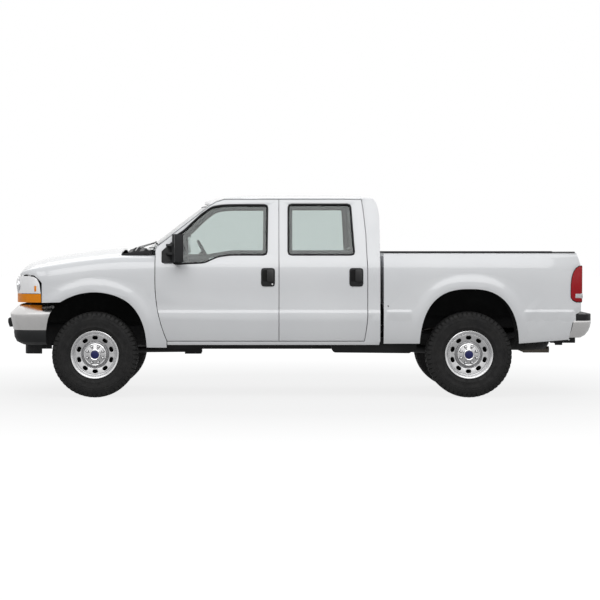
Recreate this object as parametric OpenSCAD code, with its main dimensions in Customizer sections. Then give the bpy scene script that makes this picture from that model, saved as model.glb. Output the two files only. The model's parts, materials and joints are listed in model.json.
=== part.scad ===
// Four-door, short-bed, four-wheel-drive pickup truck.
// The nose points to -X, the driver's side is -Y, and the ground is Z = 0.

/* [Overall] */
// Distance between the front and rear axles
wheelbase = 3967; // [3900:1:4800]
// From the front axle to the face of the front bumper
front_overhang = 948; // [930:1:1150]
// From the rear axle to the back of the rear bumper
rear_overhang = 1320; // [1240:1:1600]
// Half of the body's width at its flat sides
side_half_w = 986; // [960:1:1185]
// Height of the roof's crown above the ground
roof_h = 2165; // [2140:1:2600]

/* [Body sides] */
// How far the lower doors stand out past the upper ones
step_out = 14; // [4:1:30]
// Height of the top of that step
step_z = 952; // [920:1:1000]
// How far the wheel-arch flares stand out
flare_out = 30; // [16:1:40]
// Width of the flat lip round a wheel opening
flare_lip = 58; // [40:1:80]
// Width of a flare's sloping shelf
flare_shelf = 105; // [60:1:120]
// Thickness of the fender and bed-side sheets with their flanges
sheet_t = 6; // [3:1:10]
// Gap at every shut line
shut_gap = 8; // [7:0.5:12]
// Height of the bottom edge of the doors
door_bottom_z = 603; // [590:1:640]
// Height of the bottom edge of the rocker panel
rocker_bottom_z = 560; // [540:1:575]
// Height of the bed rail
rail_z = 1533; // [1500:1:1580]

/* [Cab] */
// From the front axle to the front door's leading edge
cab_setback = 644; // [640:1:760]
// Length of the front door opening
front_door_l = 1308; // [1250:1:1570]
// Length of the rear door opening
rear_door_l = 934; // [900:1:1120]
// From the rear door to the back of the cab
cab_quarter_l = 137; // [120:1:200]
// Thickness of a door below its window
door_t = 115; // [90:1:140]
// Depth of the door's outer flange below the window
door_flange_t = 25; // [20:1:40]
// How far the inner part of a door is stepped back from its edge
door_step = 30; // [24:1:40]
// Height of the cab floor's top face
floor_z = 780; // [740:1:800]
// Thickness of all the window glass
glass_t = 5; // [4:1:6]

/* [Bed] */
// Gap between the cab and the bed
bed_gap = 37; // [25:1:60]
// Height of the bed floor's top face
bed_floor_z = 1010; // [960:1:1040]
// Thickness of the tailgate
tailgate_t = 68; // [50:1:90]
// Half width of the tailgate
tailgate_half_w = 786; // [700:1:800]

/* [Wheels] */
// Outer diameter of a tyre
tyre_d = 908; // [760:1:940]
// Width of a tyre
tyre_w = 296; // [240:1:310]
// Diameter of a wheel's outer flange
rim_d = 506; // [430:1:560]
// Distance from the truck's middle to a tyre's middle plane
track_half = 838; // [830:1:860]
// Distance from the truck's middle to a steering pivot
kingpin_y = 716; // [710:1:724]
// Radius of the wheel spindles
spindle_r = 42; // [30:1:45]
// Radial clearance of every running fit
run_fit = 0.08; // [0.02:0.01:0.1]
// Length of the steering arms
steer_arm = 150; // [140:1:158]

/* [Chassis] */
// Outer face of the front part of a frame rail, from the truck's middle
rail_y = 438; // [400:1:445]
// Width of a frame rail
rail_w = 72; // [60:1:80]
// Depth of a frame rail
rail_h = 170; // [140:1:190]
// Bottom of the frame rails under the cab
frame_z = 492; // [470:1:520]
// Width of the leaf springs
spring_w = 66; // [50:1:76]
// Bore for the pin of the hitch receiver
hitch_pin_r = 8.25; // [6:0.05:9]
// Inner width of the hitch receiver's square tube
hitch_bore = 51.5; // [50.9:0.1:64]
// Hole for a tow ball in the rear bumper
ball_hole_r = 12.9; // [9.6:0.1:16]

/* [Hidden] */
$fn = 64;

// Stations along the truck
front_x = -(front_overhang + wheelbase + rear_overhang) / 2;
axle_fx = front_x + front_overhang;
axle_rx = axle_fx + wheelbase;
rear_x = axle_rx + rear_overhang;
axle_z = tyre_d / 2;
door_fx = axle_fx + cab_setback;
door_mx = door_fx + front_door_l;
door_rx = door_mx + rear_door_l;
cab_rx = door_rx + cab_quarter_l;
bed_fx = cab_rx + bed_gap;
bed_rx = rear_x - 142;
hood_rx = door_fx - 373;
grille_x = front_x + 92;
lamp_rx = axle_fx - 558;

// Heights of the body
belt_z = 1506;
crease_drop = 190;
roof_edge_z = roof_h - 50;

white = "white";
steel = "gray";
dark = "dimgray";
black = "black";

function clamp01(t) = max(0, min(1, t));
function smooth(t) = let (c = clamp01(t)) c * c * (3 - 2 * c);
function mix(a, b, t) = a + (b - a) * t;
function flip(p) = [for (i = [len(p) - 1:-1:0]) p[i]];

module both() {
    children();
    mirror([0, 1, 0]) children();
}

// A prism with its outline in the side view (x, z), from y0 to y1
module side_prism(y0, y1) {
    translate([0, y1, 0]) rotate([90, 0, 0]) linear_extrude(y1 - y0) children();
}

// A prism with its outline in the rear view (y, z), from x0 to x1
module cross_prism(x0, x1) {
    translate([x0, 0, 0]) rotate([90, 0, 90]) linear_extrude(x1 - x0) children();
}

module box(x0, x1, y0, y1, z0, z1) {
    translate([x0, y0, z0]) cube([x1 - x0, y1 - y0, z1 - z0]);
}

// A rod of radius r along Y
module rod_y(x, z, y0, y1, r) {
    translate([x, y1, z]) rotate([90, 0, 0]) cylinder(h = y1 - y0, r = r);
}

// A rod of radius r along X
module rod_x(y, z, x0, x1, r) {
    translate([x0, y, z]) rotate([0, 90, 0]) cylinder(h = x1 - x0, r = r);
}

module rounded(r) {
    offset(r = r) offset(delta = -r) children();
}

// Half width of the plain body side at height z, without step or flare
side_curve = [
    [500, -50], [560, -38], [620, -22], [700, -9], [800, -2], [900, 0], [1150, 0], [1240, -2], [1300, -5],
    [1340, -10], [1380, -18], [1415, -28], [1445, -40], [1475, -54], [1506, -70], [1533, -82], [1560, -92]
];
function plain_w(z) = side_half_w + lookup(z, side_curve);
function bead(z) = smooth((step_z - z) / 58);
function side_w(z) = plain_w(z) + step_out * bead(z);

// Half width of the cab above the belt
pillar_lean = 0.293;
function cab_w(z) = z < belt_z ? side_w(z) : side_w(belt_z) - (z - belt_z) * pillar_lean;
roof_half_w = cab_w(roof_edge_z);

// Levels at which the body side's outline has a corner
body_levels = [500, 560, 620, 700, 800, step_z - 58, step_z - 40, step_z - 22, step_z, 1150, 1240, 1300,
    1340, 1380, 1415, 1445, 1475, belt_z];
cab_levels = concat(body_levels, [roof_edge_z]);

// A wall of the cab or a door, between two depths under the outer skin.
// Each depth is a pair: below the belt, and above it.
function depth_at(d, z) = z <= belt_z - 90 ? d[0] : z >= belt_z ? d[1] : mix(d[1], d[0], (belt_z - z) / 90);
function skin_band(levels, d_out, d_in) = concat(
    [for (z = levels) [cab_w(z) - depth_at(d_out, z), z]],
    [for (z = flip(levels)) [cab_w(z) - depth_at(d_in, z), z]]);
module skin_wall(d_out, d_in) {
    cross_prism(axle_fx, axle_rx) polygon(skin_band(cab_levels, d_out, d_in));
}

// Front edge of the front door: upright, then swept back towards the sill
function door_front_x(z) = door_fx + 126 * pow(clamp01((1250 - z) / 647), 2.2);
sweep_z = [500, 530, 560, 603, 650, 700, 760, 820, 880, 940, 1000, 1070, 1150, 1250];

// Rear edge of the rear door: upright, leaning forward over the window
function door_rear_x(z) = door_rx - lookup(z, [[500, 60], [603, 34], [668, 22], [780, 6], [860, 0], [1380, 0],
    [1560, 8], [1730, 14], [1890, 30], [2020, 44], [2120, 62]]);
rear_edge_z = [500, 603, 668, 780, 860, 1380, 1560, 1730, 1890, 2020, 2120];

// Line of the windshield pillar and the roof in the side view
pillar_line = [[door_fx - 40, belt_z + 76], [door_fx + 275, belt_z + 322], [door_fx + 560, roof_edge_z - 74]];
roof_front_x = door_fx + 600;
function pillar_x(z) = z < pillar_line[1][1]
    ? mix(pillar_line[0][0], pillar_line[1][0], (z - pillar_line[0][1]) / (pillar_line[1][1] - pillar_line[0][1]))
    : mix(pillar_line[1][0], pillar_line[2][0], (z - pillar_line[1][1]) / (pillar_line[2][1] - pillar_line[1][1]));

// Side outlines of the doors
door_top_z = roof_edge_z - 14;
module front_door_outline() {
    polygon(concat(
        [for (z = sweep_z) if (z >= door_bottom_z) [door_front_x(z), z]],
        [[door_fx, belt_z + 60], [door_fx + 22, belt_z + 96], [door_fx + 300, belt_z + 312],
         [door_fx + 575, roof_edge_z - 82], [door_fx + 640, roof_edge_z - 42], [door_fx + 730, door_top_z],
         [door_mx - shut_gap / 2, door_top_z], [door_mx - shut_gap / 2, door_bottom_z]]));
}
module rear_door_outline() {
    polygon(concat(
        [[door_mx + shut_gap / 2, door_bottom_z], [door_mx + shut_gap / 2, door_top_z],
         [door_rear_x(door_top_z), door_top_z]],
        [for (z = flip(rear_edge_z)) if (z >= door_bottom_z && z < door_top_z) [door_rear_x(z), z]],
        [[door_rear_x(door_bottom_z), door_bottom_z]]));
}

// Side outlines of the window openings
module front_window_outline() {
    rounded(26) polygon([
        [door_fx + 190, belt_z - 92], [door_fx + 190, belt_z + 190], [door_fx + 300, belt_z + 262],
        [door_fx + 470, roof_edge_z - 184], [door_fx + 590, roof_edge_z - 96], [door_fx + 700, roof_edge_z - 76],
        [door_fx + 800, roof_edge_z - 72], [door_mx - 122, roof_edge_z - 72], [door_mx - 130, belt_z + 6],
        [door_fx + 790, belt_z + 6], [door_fx + 660, belt_z - 14], [door_fx + 520, belt_z - 78]]);
}
module rear_window_outline() {
    rounded(34) polygon([
        [door_mx + 100, belt_z + 6], [door_mx + 102, roof_edge_z - 66], [door_mx + 762, roof_edge_z - 66],
        [door_mx + 790, belt_z + 120], [door_mx + 800, belt_z + 6]]);
}

// One door on the right side: outer flange and stepped inner part, with its window cut through
module door() {
    color(white) intersection() {
        union() {
            intersection() {
                side_prism(600, 1100) children(0);
                skin_wall([0, 0], [door_flange_t, 12]);
            }
            intersection() {
                side_prism(600, 1100) offset(delta = -door_step) children(0);
                skin_wall([door_flange_t - 1, 11], [door_t, 44]);
            }
        }
        difference() {
            box(axle_fx, axle_rx, 500, 1200, 400, roof_h);
            side_prism(500, 1100) children(1);
        }
    }
}

// A pane set in a door's window opening
module door_pane() {
    color("lightsteelblue") intersection() {
        side_prism(600, 1100) offset(delta = -0.3) children();
        skin_wall([glass_set, glass_set], [glass_set + glass_t, glass_set + glass_t]);
    }
}
glass_set = 16;

// ---- Cab ----

// Outline of the whole cab side, from the rocker to the roof rail
module cab_side_outline() {
    polygon(concat(
        [for (z = sweep_z) if (z > rocker_bottom_z && z < belt_z) [door_front_x(z), z]],
        [[door_fx, belt_z + 56], pillar_line[0] + [34, 6], pillar_line[1], pillar_line[2],
         [roof_front_x + 40, roof_edge_z - 30], [roof_front_x + 130, roof_edge_z]],
        [[cab_rx - 70, roof_edge_z], [cab_rx - 32, roof_edge_z - 48], [cab_rx - 12, roof_edge_z - 123],
         [cab_rx - 3, roof_edge_z - 209], [cab_rx, 1780], [cab_rx, 600], [cab_rx - 12, rocker_bottom_z],
         [door_front_x(rocker_bottom_z), rocker_bottom_z]]));
}

// Each side has its pillars, rocker and roof rail in one wall, open behind the doors
module cab_sides() {
    flange_depth = [56, 26];
    color(white) both() difference() {
        intersection() {
            side_prism(600, 1100) cab_side_outline();
            skin_wall([0, 0], [150, 74]);
        }
        intersection() {
            side_prism(500, 1200) offset(delta = shut_gap) {
                front_door_outline();
                rear_door_outline();
            }
            skin_wall([-60, -60], flange_depth);
        }
        side_prism(400, 1200) offset(delta = -(door_step - aperture_gap)) front_door_outline();
        side_prism(400, 1200) offset(delta = -(door_step - aperture_gap)) rear_door_outline();
    }
}

// Gap between the inner part of a door and its opening
aperture_gap = 13;

cab_floor_t = 40;
module cab_floor() {
    half_w = cab_w(floor_z - cab_floor_t) - 150.3;
    color(dark) {
        difference() {
            union() {
                box(door_fx - 40, cab_rx - 70, -half_w, half_w, floor_z - cab_floor_t, floor_z);
                both() box(door_fx + 200, cab_rx - 70, half_w - 60, half_w - 20, floor_z - 110, floor_z - cab_floor_t);
            }
            box(door_fx - 60, door_fx + 700, -210, 210, floor_z - 60, floor_z + 10);
        }
        // Raised tunnel over the gearbox
        difference() {
            box(door_fx - 40, door_fx + 700, -210, 210, floor_z - cab_floor_t, floor_z + 130);
            box(door_fx - 60, door_fx + 660, -180, 180, floor_z - 60, floor_z + 100);
        }
        // Rubber mounts on the frame
        both() for (x = [door_fx + 330, door_mx + 100, door_rx - 60])
            translate([x, rail_y - rail_w / 2, frame_z + rail_h + 0.3])
                cylinder(h = floor_z - cab_floor_t - frame_z - rail_h - 0.3, r = 34);
    }
}

cowl_z = 1578;
// Inner face of the fender's shoulder beside the cowl, at its corner m
function fender_under(m) = let (
        s = shoulder_front[m - 1],
        turn = 90 * m / len(shoulder_front),
        low_z = hood_edge_z(hood_rx) - crease_drop)
    [mix(hood_half_w(hood_rx) + 6, plain_w(low_z), s[0]) - (sheet_t + 0.5) * cos(turn),
     mix(low_z, hood_edge_z(hood_rx), s[1]) - (sheet_t + 0.5) * sin(turn)];
module firewall() {
    wall_x = door_fx - 40;
    color(dark) {
        difference() {
            cross_prism(wall_x - 20, wall_x) polygon([
                [-870, floor_z - 20], [870, floor_z - 20], [870, 1440], [798, 1480], [798, 1530], [-798, 1530],
                [-798, 1480], [-870, 1440]]);
            box(wall_x - 40, wall_x + 20, -180, 180, floor_z - 60, floor_z + 100);
        }
        // Cowl in front of the windshield
        side_prism(-798, 798) polygon([
            [hood_rx + 12, cowl_z - 84], [hood_rx + 12, cowl_z - 56], [hood_rx + 120, cowl_z - 34],
            [wall_x - 20, cowl_z - 16], [wall_x, cowl_z - 48], [wall_x - 20, cowl_z - 60]]);
        // Shelf that carries the fender's shoulder
        both() cross_prism(hood_rx + 12, wall_x - 10) polygon(concat(
            [[780, cowl_z - 156], [780, cowl_z - 108]], [for (m = [4:-1:2]) fender_under(m)]));
    }
}

module cab_back() {
    x0 = cab_rx - 68;
    half = cab_w(step_z) - 140;
    color(white) difference() {
        side_prism(-half, half) polygon([
            [x0, floor_z - 100], [cab_rx - 2, floor_z - 100], [cab_rx - 2, 1780], [cab_rx - 5, roof_edge_z - 209],
            [cab_rx - 14, roof_edge_z - 123], [cab_rx - 34, roof_edge_z - 48], [cab_rx - 66, roof_edge_z - 2],
            [cab_rx - 66, roof_edge_z + 10], [x0 - 50, roof_edge_z + 10], [x0 - 30, roof_edge_z - 123],
            [x0, roof_edge_z - 209]]);
        both() skin_wall([-160, -160], [150.3, 74.3]);
        // Room for the roof panel
        roof_low = roof_edge_z + roof_rise(1, 1) - roof_t - 0.5;
        cross_prism(x0 - 100, cab_rx + 20) polygon(concat(
            [for (i = [-20:20]) [i / 20 * roof_half, roof_edge_z + roof_rise(1, i / 20) - roof_t - 0.5]],
            [[half + 10, roof_low], [half + 10, roof_h], [-half - 10, roof_h], [-half - 10, roof_low]]));
        cross_prism(x0 - 100, cab_rx + 20) rear_window_shape(0);
    }
}
module rear_window_shape(grow) {
    offset(delta = grow) rounded(40) polygon([
        [-640, belt_z + 34], [640, belt_z + 34], [590, roof_edge_z - 96], [-590, roof_edge_z - 96]]);
}
module rear_window() {
    color("lightsteelblue") intersection() {
        cross_prism(cab_rx - 200, cab_rx) rear_window_shape(-0.3);
        side_prism(-700, 700) polygon([
            [cab_rx - 36, belt_z], [cab_rx - 31, belt_z], [cab_rx - 33, roof_edge_z - 265],
            [cab_rx - 43, roof_edge_z - 90], [cab_rx - 48, roof_edge_z - 90], [cab_rx - 38, roof_edge_z - 265]]);
    }
}

// ---- Thin panels made of a grid of points ----

// A sheet between two grids of rows by columns: outer points p, inner points q
module sheet(p, q) {
    rows = len(p);
    cols = len(p[0]);
    n = rows * cols;
    pts = concat([for (r = p) for (v = r) v], [for (r = q) for (v = r) v]);
    rim = concat(
        [for (c = [0:cols - 1]) c],
        [for (r = [1:rows - 1]) r * cols + cols - 1],
        [for (c = [cols - 2:-1:0]) (rows - 1) * cols + c],
        [for (r = [rows - 2:-1:1]) r * cols]);
    polyhedron(pts, concat(
        [for (r = [0:rows - 2]) for (c = [0:cols - 2]) each quad(r * cols + c, r * cols + c + 1,
            (r + 1) * cols + c + 1, (r + 1) * cols + c)],
        [for (r = [0:rows - 2]) for (c = [0:cols - 2]) each quad(n + (r + 1) * cols + c, n + (r + 1) * cols + c + 1,
            n + r * cols + c + 1, n + r * cols + c)],
        rim_faces(rim, n)));
}
function quad(a, b, c, d) = [[a, b, c], [a, c, d]];
function rim_faces(rim, n) = [for (i = [0:len(rim) - 1])
    let (a = rim[i], b = rim[(i + 1) % len(rim)]) each quad(b, a, a + n, b + n)];

// ---- Wheel arches ----

// Radius of the front wheel opening at an angle measured from the rearward level
function front_opening(a) = 664 - 113 * smooth((65 - a) / 65);
// The rear opening is squarer
function rear_opening(a) = pow(pow(abs(cos(a)) / 527, 2.6) + pow(abs(sin(a)) / 698, 2.6), -1 / 2.6);
function opening(front, a) = front ? front_opening(a) : rear_opening(a);
function polar(front, a, r) = [(front ? axle_fx : axle_rx) + r * cos(a), 454 + r * sin(a)];

// How far a side panel stands out at (x, z): the flare is full over the wheel and fades into the step
function flare(front, x, z) = let (
        dx = x - (front ? axle_fx : axle_rx),
        dz = z - 454,
        a = atan2(dz, dx),
        reach = sqrt(dx * dx + dz * dz) - opening(front, max(0, min(180, a))),
        fade = front ? smooth((a - 5) / 40) : smooth((a - 5) / 40) * smooth((175 - a) / 40))
    mix(step_out, flare_out, fade) * smooth((flare_lip + flare_shelf - reach) / flare_shelf);
function nose_inset(x) = let (f = clamp01((axle_fx - 330 - x) / 525))
    420 * (1 - pow(max(0, 1 - pow(f, 2.6)), 1 / 2.6));
function panel_w(front, x, z) = plain_w(z) - nose_inset(x)
    + max(front && x < axle_fx ? 0 : step_out * bead(z), flare(front, x, z));

// Height of the hood's side edge and crown along the truck
hood_fx = front_x + 98;
function crown_z(x) = lookup(x - axle_fx, [[-855, 1345], [-830, 1372], [-806, 1392], [-756, 1422], [-700, 1443],
    [-648, 1460], [-540, 1483], [-430, 1503], [-215, 1536], [0, 1561], [140, 1575], [272, 1584]]);
function hood_edge_z(x) = crown_z(x) - 75;
function hood_half_w(x) = min(800, side_half_w - nose_inset(x) - 40);

// How far the bed side's rear corner leans forward
function corner_lean(z) = 42 * pow(clamp01((z - 1360) / 173), 1.6);

// A side panel round a wheel opening. Rays run from the opening's lip to the panel's
// border, and a second strip carries the panel on over its shoulder.
function ray_point(front, lip_a, border, k) = let (
        lip = polar(front, lip_a, opening(front, lip_a)),
        far = border - lip,
        reach = norm(far),
        steps = [0, flare_lip, flare_lip + flare_shelf * 0.3, flare_lip + flare_shelf * 0.6,
            flare_lip + flare_shelf],
        squeeze = min(1, reach / (flare_lip + flare_shelf) * 0.88),
        d = k < 5 ? steps[k] * squeeze : mix(steps[4] * squeeze, reach, (k - 4) / 3))
    lip + far * (d / reach);
ray_rows = 7;

module side_panel(front, border, lip_map, first_top, last_top, strip_x, shoulder, strip_low) {
    rays = len(border);
    origin = [front ? axle_fx : axle_rx, 454];
    lip_a = [for (b = border) lookup(atan2(b[1] - origin[1], b[0] - origin[0]), lip_map)];
    face = [for (i = [0:rays - 1]) for (k = [0:ray_rows])
        let (p = ray_point(front, lip_a[i], border[i], k)) [p[0], panel_w(front, p[0], p[1]), p[1]]];
    bands = len(shoulder);
    shared = last_top - first_top;
    strip = [for (j = [0:len(strip_x) - 1]) for (m = [0:bands])
        let (
            x = strip_x[j],
            low_z = j <= shared ? border[first_top + j][1] : strip_low[j - shared - 1],
            top = front ? [hood_half_w(x) + 6, hood_edge_z(x)] : [side_half_w - 82, rail_z],
            low = [panel_w(front, x, low_z), low_z],
            s = m == 0 ? [1, 0] : shoulder[m - 1])
        let (z = mix(low[1], top[1], s[1]))
        [x - (j == 0 && !front ? corner_lean(z) : 0), mix(top[0], low[0], s[0]), z]];
    turn = [for (j = [0:len(strip_x) - 1]) for (m = [0:bands]) 90 * m / bands];
    nf = len(face);
    outer = concat(face, strip);
    inner = concat(
        [for (v = face) v - [0, sheet_t, 0]],
        [for (i = [0:len(strip) - 1]) strip[i] - sheet_t * [0, cos(turn[i]), sin(turn[i])]]);
    n = len(outer);
    strips = len(strip_x);
    // Index of a point of the strip: its first row is the face's own border where they meet
    at = [for (j = [0:strips - 1]) [for (m = [0:bands])
        m == 0 && j <= shared ? (first_top + j) * (ray_rows + 1) + ray_rows : nf + j * (bands + 1) + m]];
    cells = concat(
        [for (i = [0:rays - 2]) for (k = [0:ray_rows - 1]) let (a = i * (ray_rows + 1) + k)
            [a, a + 1, a + ray_rows + 2, a + ray_rows + 1]],
        [for (j = [0:strips - 2]) for (m = [0:bands - 1])
            [at[j][m], at[j][m + 1], at[j + 1][m + 1], at[j + 1][m]]]);
    rim = concat(
        [for (i = [0:rays - 1]) i * (ray_rows + 1)],
        [for (k = [1:ray_rows]) (rays - 1) * (ray_rows + 1) + k],
        [for (i = [rays - 2:-1:last_top]) i * (ray_rows + 1) + ray_rows],
        [for (j = [shared + 1:1:strips - 1]) at[j][0]],
        [for (m = [1:bands]) at[strips - 1][m]],
        [for (j = [strips - 2:-1:0]) at[j][bands]],
        [for (m = [bands - 1:-1:1]) at[0][m]],
        [for (i = [first_top:-1:1]) i * (ray_rows + 1) + ray_rows],
        [for (k = [ray_rows:-1:1]) k]);
    polyhedron(concat(outer, inner), concat(
        [for (c = cells) each quad(c[0], c[1], c[2], c[3])],
        [for (c = cells) each quad(c[3] + n, c[2] + n, c[1] + n, c[0] + n)],
        rim_faces(flip(rim), n)));
}

shoulder_front = [[0.95, 0.316], [0.847, 0.553], [0.694, 0.737], [0.503, 0.874], [0.273, 0.953], [0, 1]];

// Border of the front fender: up its rear edge, forward over the wheel, and down behind the headlamp
fender_x = [for (i = [0:21]) mix(door_fx - shut_gap, lamp_rx, i / 21)];
fender_nose = [[30, 1252], [84, 1294], [168, 1304], [220, 1299], [244, 1290]];
function fender_crease(x) = hood_edge_z(x) - crease_drop;
module front_fenders() {
    rear_z = [530, 600, 680, 780, 890, 1010, 1130, 1230];
    border = concat(
        [for (z = rear_z) [door_front_x(z) - shut_gap, z]],
        [for (x = fender_x) [x, fender_crease(x)]],
        [for (z = [1140, 1070, 1006]) [lamp_rx, z]]);
    color(white) both() side_panel(true, border,
        [[5.4, 7.8], [20, 20], [100, 100], [126.3, 114], [135.4, 123]],
        len(rear_z), len(rear_z) + len(fender_x) - 1,
        concat(fender_x, [for (p = fender_nose) lamp_rx - p[0]]),
        shoulder_front, [for (p = fender_nose) p[1]]);
}

shoulder_bed = [[0.889, 0.195], [0.75, 0.379], [0.583, 0.537], [0.389, 0.695], [0.167, 0.858], [0, 1]];
bed_bottom_z = 573;
module bed_sides() {
    rear_edge = [[-128, 616], [-112, 700], [-90, 800], [-68, 880], [-2, 917], [0, 1010], [0, 1120], [0, 1240]];
    front_z = [1250, 1150, 1050, 950, 850, 750, 660, bed_bottom_z];
    top_x = [for (i = [0:27]) mix(bed_rx, bed_fx, i / 27)];
    border = concat(
        [for (p = rear_edge) [bed_rx + p[0], p[1]]],
        [for (x = top_x) [x, rail_z - crease_drop]],
        [for (z = front_z) [bed_fx, z]]);
    color(white) both() side_panel(false, border,
        [[8.8, 12.8], [25, 25], [150, 150], [172.5, 167.2]],
        len(rear_edge), len(rear_edge) + len(top_x) - 1, top_x, shoulder_bed, []);
}

// Band that follows a wheel opening, between two distances outside it
function opening_arc(front, off, a0, a1, n) = [for (i = [0:n])
    let (a = mix(a0, a1, i / n)) polar(front, a, opening(front, a) + off)];
module opening_band(front, near, far, a0, a1) {
    polygon(concat(opening_arc(front, near, a0, a1, 36), flip(opening_arc(front, far, a0, a1, 36))));
}
// The space inside the sheet at a wheel opening's lip
module inside_lip(front, low_a) {
    edge = [for (a = [low_a:6:90]) let (p = polar(front, a, opening(front, a)))
        [panel_w(front, p[0], p[1]) - sheet_t - 0.8, p[1]]];
    cross_prism(front_x, rear_x) polygon(concat([[300, edge[0][1] - 30]], [edge[0] - [0, 30]], edge,
        [edge[len(edge) - 1] + [0, 80], [300, edge[len(edge) - 1][1] + 80]]));
}

liner_y = 462;
module arch_liners() {
    color(black) both() {
        intersection() {
            side_prism(liner_y, 1100) opening_band(true, 2, 8, 8, 122);
            inside_lip(true, 8);
        }
        // Inner wall of the front wheel space, over the frame rail
        side_prism(liner_y - 6, liner_y) difference() {
            polygon(concat(opening_arc(true, 8, 30, 122, 24), [polar(true, 122, 420), polar(true, 60, 330)]));
            translate([axle_fx, axle_z]) circle(r = 250);
        }
    }
}

hood_gap = 6;
hood_t = 24;
// Height of the hood at x, for s from -1 to 1 across it
function hood_top(x, s) = hood_edge_z(x) + 75 * (1 - pow(abs(s), 2.6)) * (1 - 0.12 * smooth(abs(s) * 2 - 0.2));
module hood() {
    cols = 18;
    rows = 20;
    xs = [for (i = [0:rows]) mix(hood_rx, hood_fx, 1 - pow(1 - i / rows, 1.5))];
    function nose(s) = 52 * pow(abs(s), 3.4);
    p = [for (j = [0:cols]) let (s = 2 * j / cols - 1) [for (x = xs)
        let (xx = x + nose(s) * pow((hood_rx - x) / (hood_rx - hood_fx), 6)) [xx, s * hood_half_w(x), hood_top(x, s)]]];
    q = [for (r = p) [for (v = r) v - [0, 0, hood_t]]];
    color(white) sheet(p, q);
}

// Height of the roof over its side edges: t runs from front to back, s from side to side
roof_t = 30;
roof_half = roof_half_w - 74.5;
function roof_rise(t, s) = (roof_h - roof_edge_z) * (1 - pow(abs(s) * 0.93, 2.4))
    - 74 * pow(1 - t, 9) - 26 * pow(t, 12);
module roof() {
    rows = 16;
    cols = 16;
    x0 = roof_front_x - 6;
    x1 = cab_rx - 66;
    function front_x_at(s) = x0 - 96 * (1 - s * s);
    p = [for (j = [0:cols]) let (s = 2 * j / cols - 1) [for (i = [0:rows])
        let (t = i / rows) [mix(front_x_at(s), x1, t), s * roof_half, roof_edge_z + roof_rise(t, s)]]];
    q = [for (r = p) [for (v = r) v - [0, 0, roof_t]]];
    color(white) sheet(q, p);
}

module windshield() {
    rows = 8;
    cols = 14;
    z0 = cowl_z - 10.6;
    z1 = roof_edge_z - 74;
    function side_x(z) = pillar_x(z) + 26;
    p = [for (j = [0:cols]) let (s = 2 * j / cols - 1) [for (i = [0:rows])
        let (z = mix(z0, z1, i / rows), half = cab_w(z) - 76)
        [side_x(z) - 104 * (1 - s * s), s * half, z]]];
    q = [for (r = p) [for (v = r) v + [glass_t, 0, -glass_t]]];
    color("lightsteelblue") sheet(q, p);
}

// ---- Front end ----

module grille() {
    half = 560;
    z0 = 1006;
    top = [for (i = [-14:14]) let (y = half * i / 14)
        [y, hood_top(hood_fx, y / hood_half_w(hood_fx)) - hood_t - hood_gap]];
    color("silver") difference() {
        cross_prism(grille_x, grille_x + 60) polygon(concat([[half - 20, z0], [-half + 20, z0], [-half, z0 + 20]],
            top, [[half, z0 + 20]]));
        for (i = [0:3]) for (s = [-1, 1])
            box(grille_x - 10, grille_x + 45, s > 0 ? 26 : -half + 42, s > 0 ? half - 42 : -26,
                z0 + 40 + i * 66, z0 + 90 + i * 66);
    }
    // Brackets on the radiator support
    color(dark) both() box(grille_x + 55, axle_fx - 730.3, 300, 340, 1040, 1070);
}
module square_at(a0, a1, b0, b1) {
    translate([a0, b0]) square([a1 - a0, b1 - b0]);
}

// Plan curve of the nose at lamp level, set in by d
function nose_curve(d, y0, x1) = [for (i = [0:24])
    let (x = mix(x1, grille_x + 1, i / 24), y = side_half_w - nose_inset(x) - d) if (y > y0) [x, y]];
module headlamps() {
    outline = [[lamp_rx - 8, 1008], [lamp_rx - 14, 1120], [lamp_rx - 26, 1206], [lamp_rx - 52, 1258],
        [lamp_rx - 88, 1280], [lamp_rx - 172, 1288], [grille_x + 4, 1284], [grille_x + 4, 1008]];
    color("orange") both() difference() {
        intersection() {
            translate([0, 0, 1000]) linear_extrude(320) polygon(concat(
                nose_curve(1, 575, lamp_rx - 8), [[grille_x + 8, 572], [grille_x + 66, 572]],
                flip(nose_curve(70, 600, lamp_rx - 8))));
            side_prism(500, 1100) polygon(outline);
        }
        // Room for the hood's front corner
        box(front_x, lamp_rx, 500, 752, 1239, 1400);
    }
    // Brackets on the radiator support
    color(dark) both() {
        box(grille_x + 24, axle_fx - 730.3, 566, 600, 1100, 1130);
        box(axle_fx - 760, axle_fx - 730.3, 440, 600, 1100, 1130);
    }
}

// Path of a bumper in plan: flat across the middle, wrapped round the corners.
// w: half width, l: length of the wrap, d: inset, dir: 1 at the front, -1 at the rear
function bumper_path(x0, w, l, d, dir, ends) = concat(
    [[ends, -(w - d)]],
    [for (i = [0:26]) let (a = mix(-90, 90, i / 26), s = sin(a), c = cos(a))
        [x0 + dir * (l - (l - d) * pow(abs(c), 0.6)), (w - d) * sign(s) * pow(abs(s), 0.25)]],
    [[ends, w - d]]);
module bumper_shell(x0, w, l, section, dir, end_at, t) {
    p = [for (s = section) [for (v = bumper_path(x0, w, l, s[0], dir, end_at(s[1]))) [v[0], v[1], s[1]]]];
    q = [for (s = section) [for (v = bumper_path(x0, w, l, s[0] + t, dir, end_at(s[1]))) [v[0], v[1], s[1]]]];
    if (dir > 0) sheet(q, p);
    else sheet(p, q);
}

bumper_w = 1006;
module front_bumper() {
    face = front_x + 22;
    end_at = function(z) axle_fx - lookup(z, [[720, 512], [826, 494], [900, 466], [984, 412]]);
    color("silver") bumper_shell(face, bumper_w, 380, [[104, 984], [92, 980], [12, 908], [2, 898], [0, 885],
        [4, 840], [14, 780], [30, 722], [34, 716]], 1, end_at, 5);
    // Brackets from the frame horns
    color(dark) both() box(face + 31.2, frame_fx - 0.3, rail_y - rail_w + 10, rail_y - 10, 738, 764);
}

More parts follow.
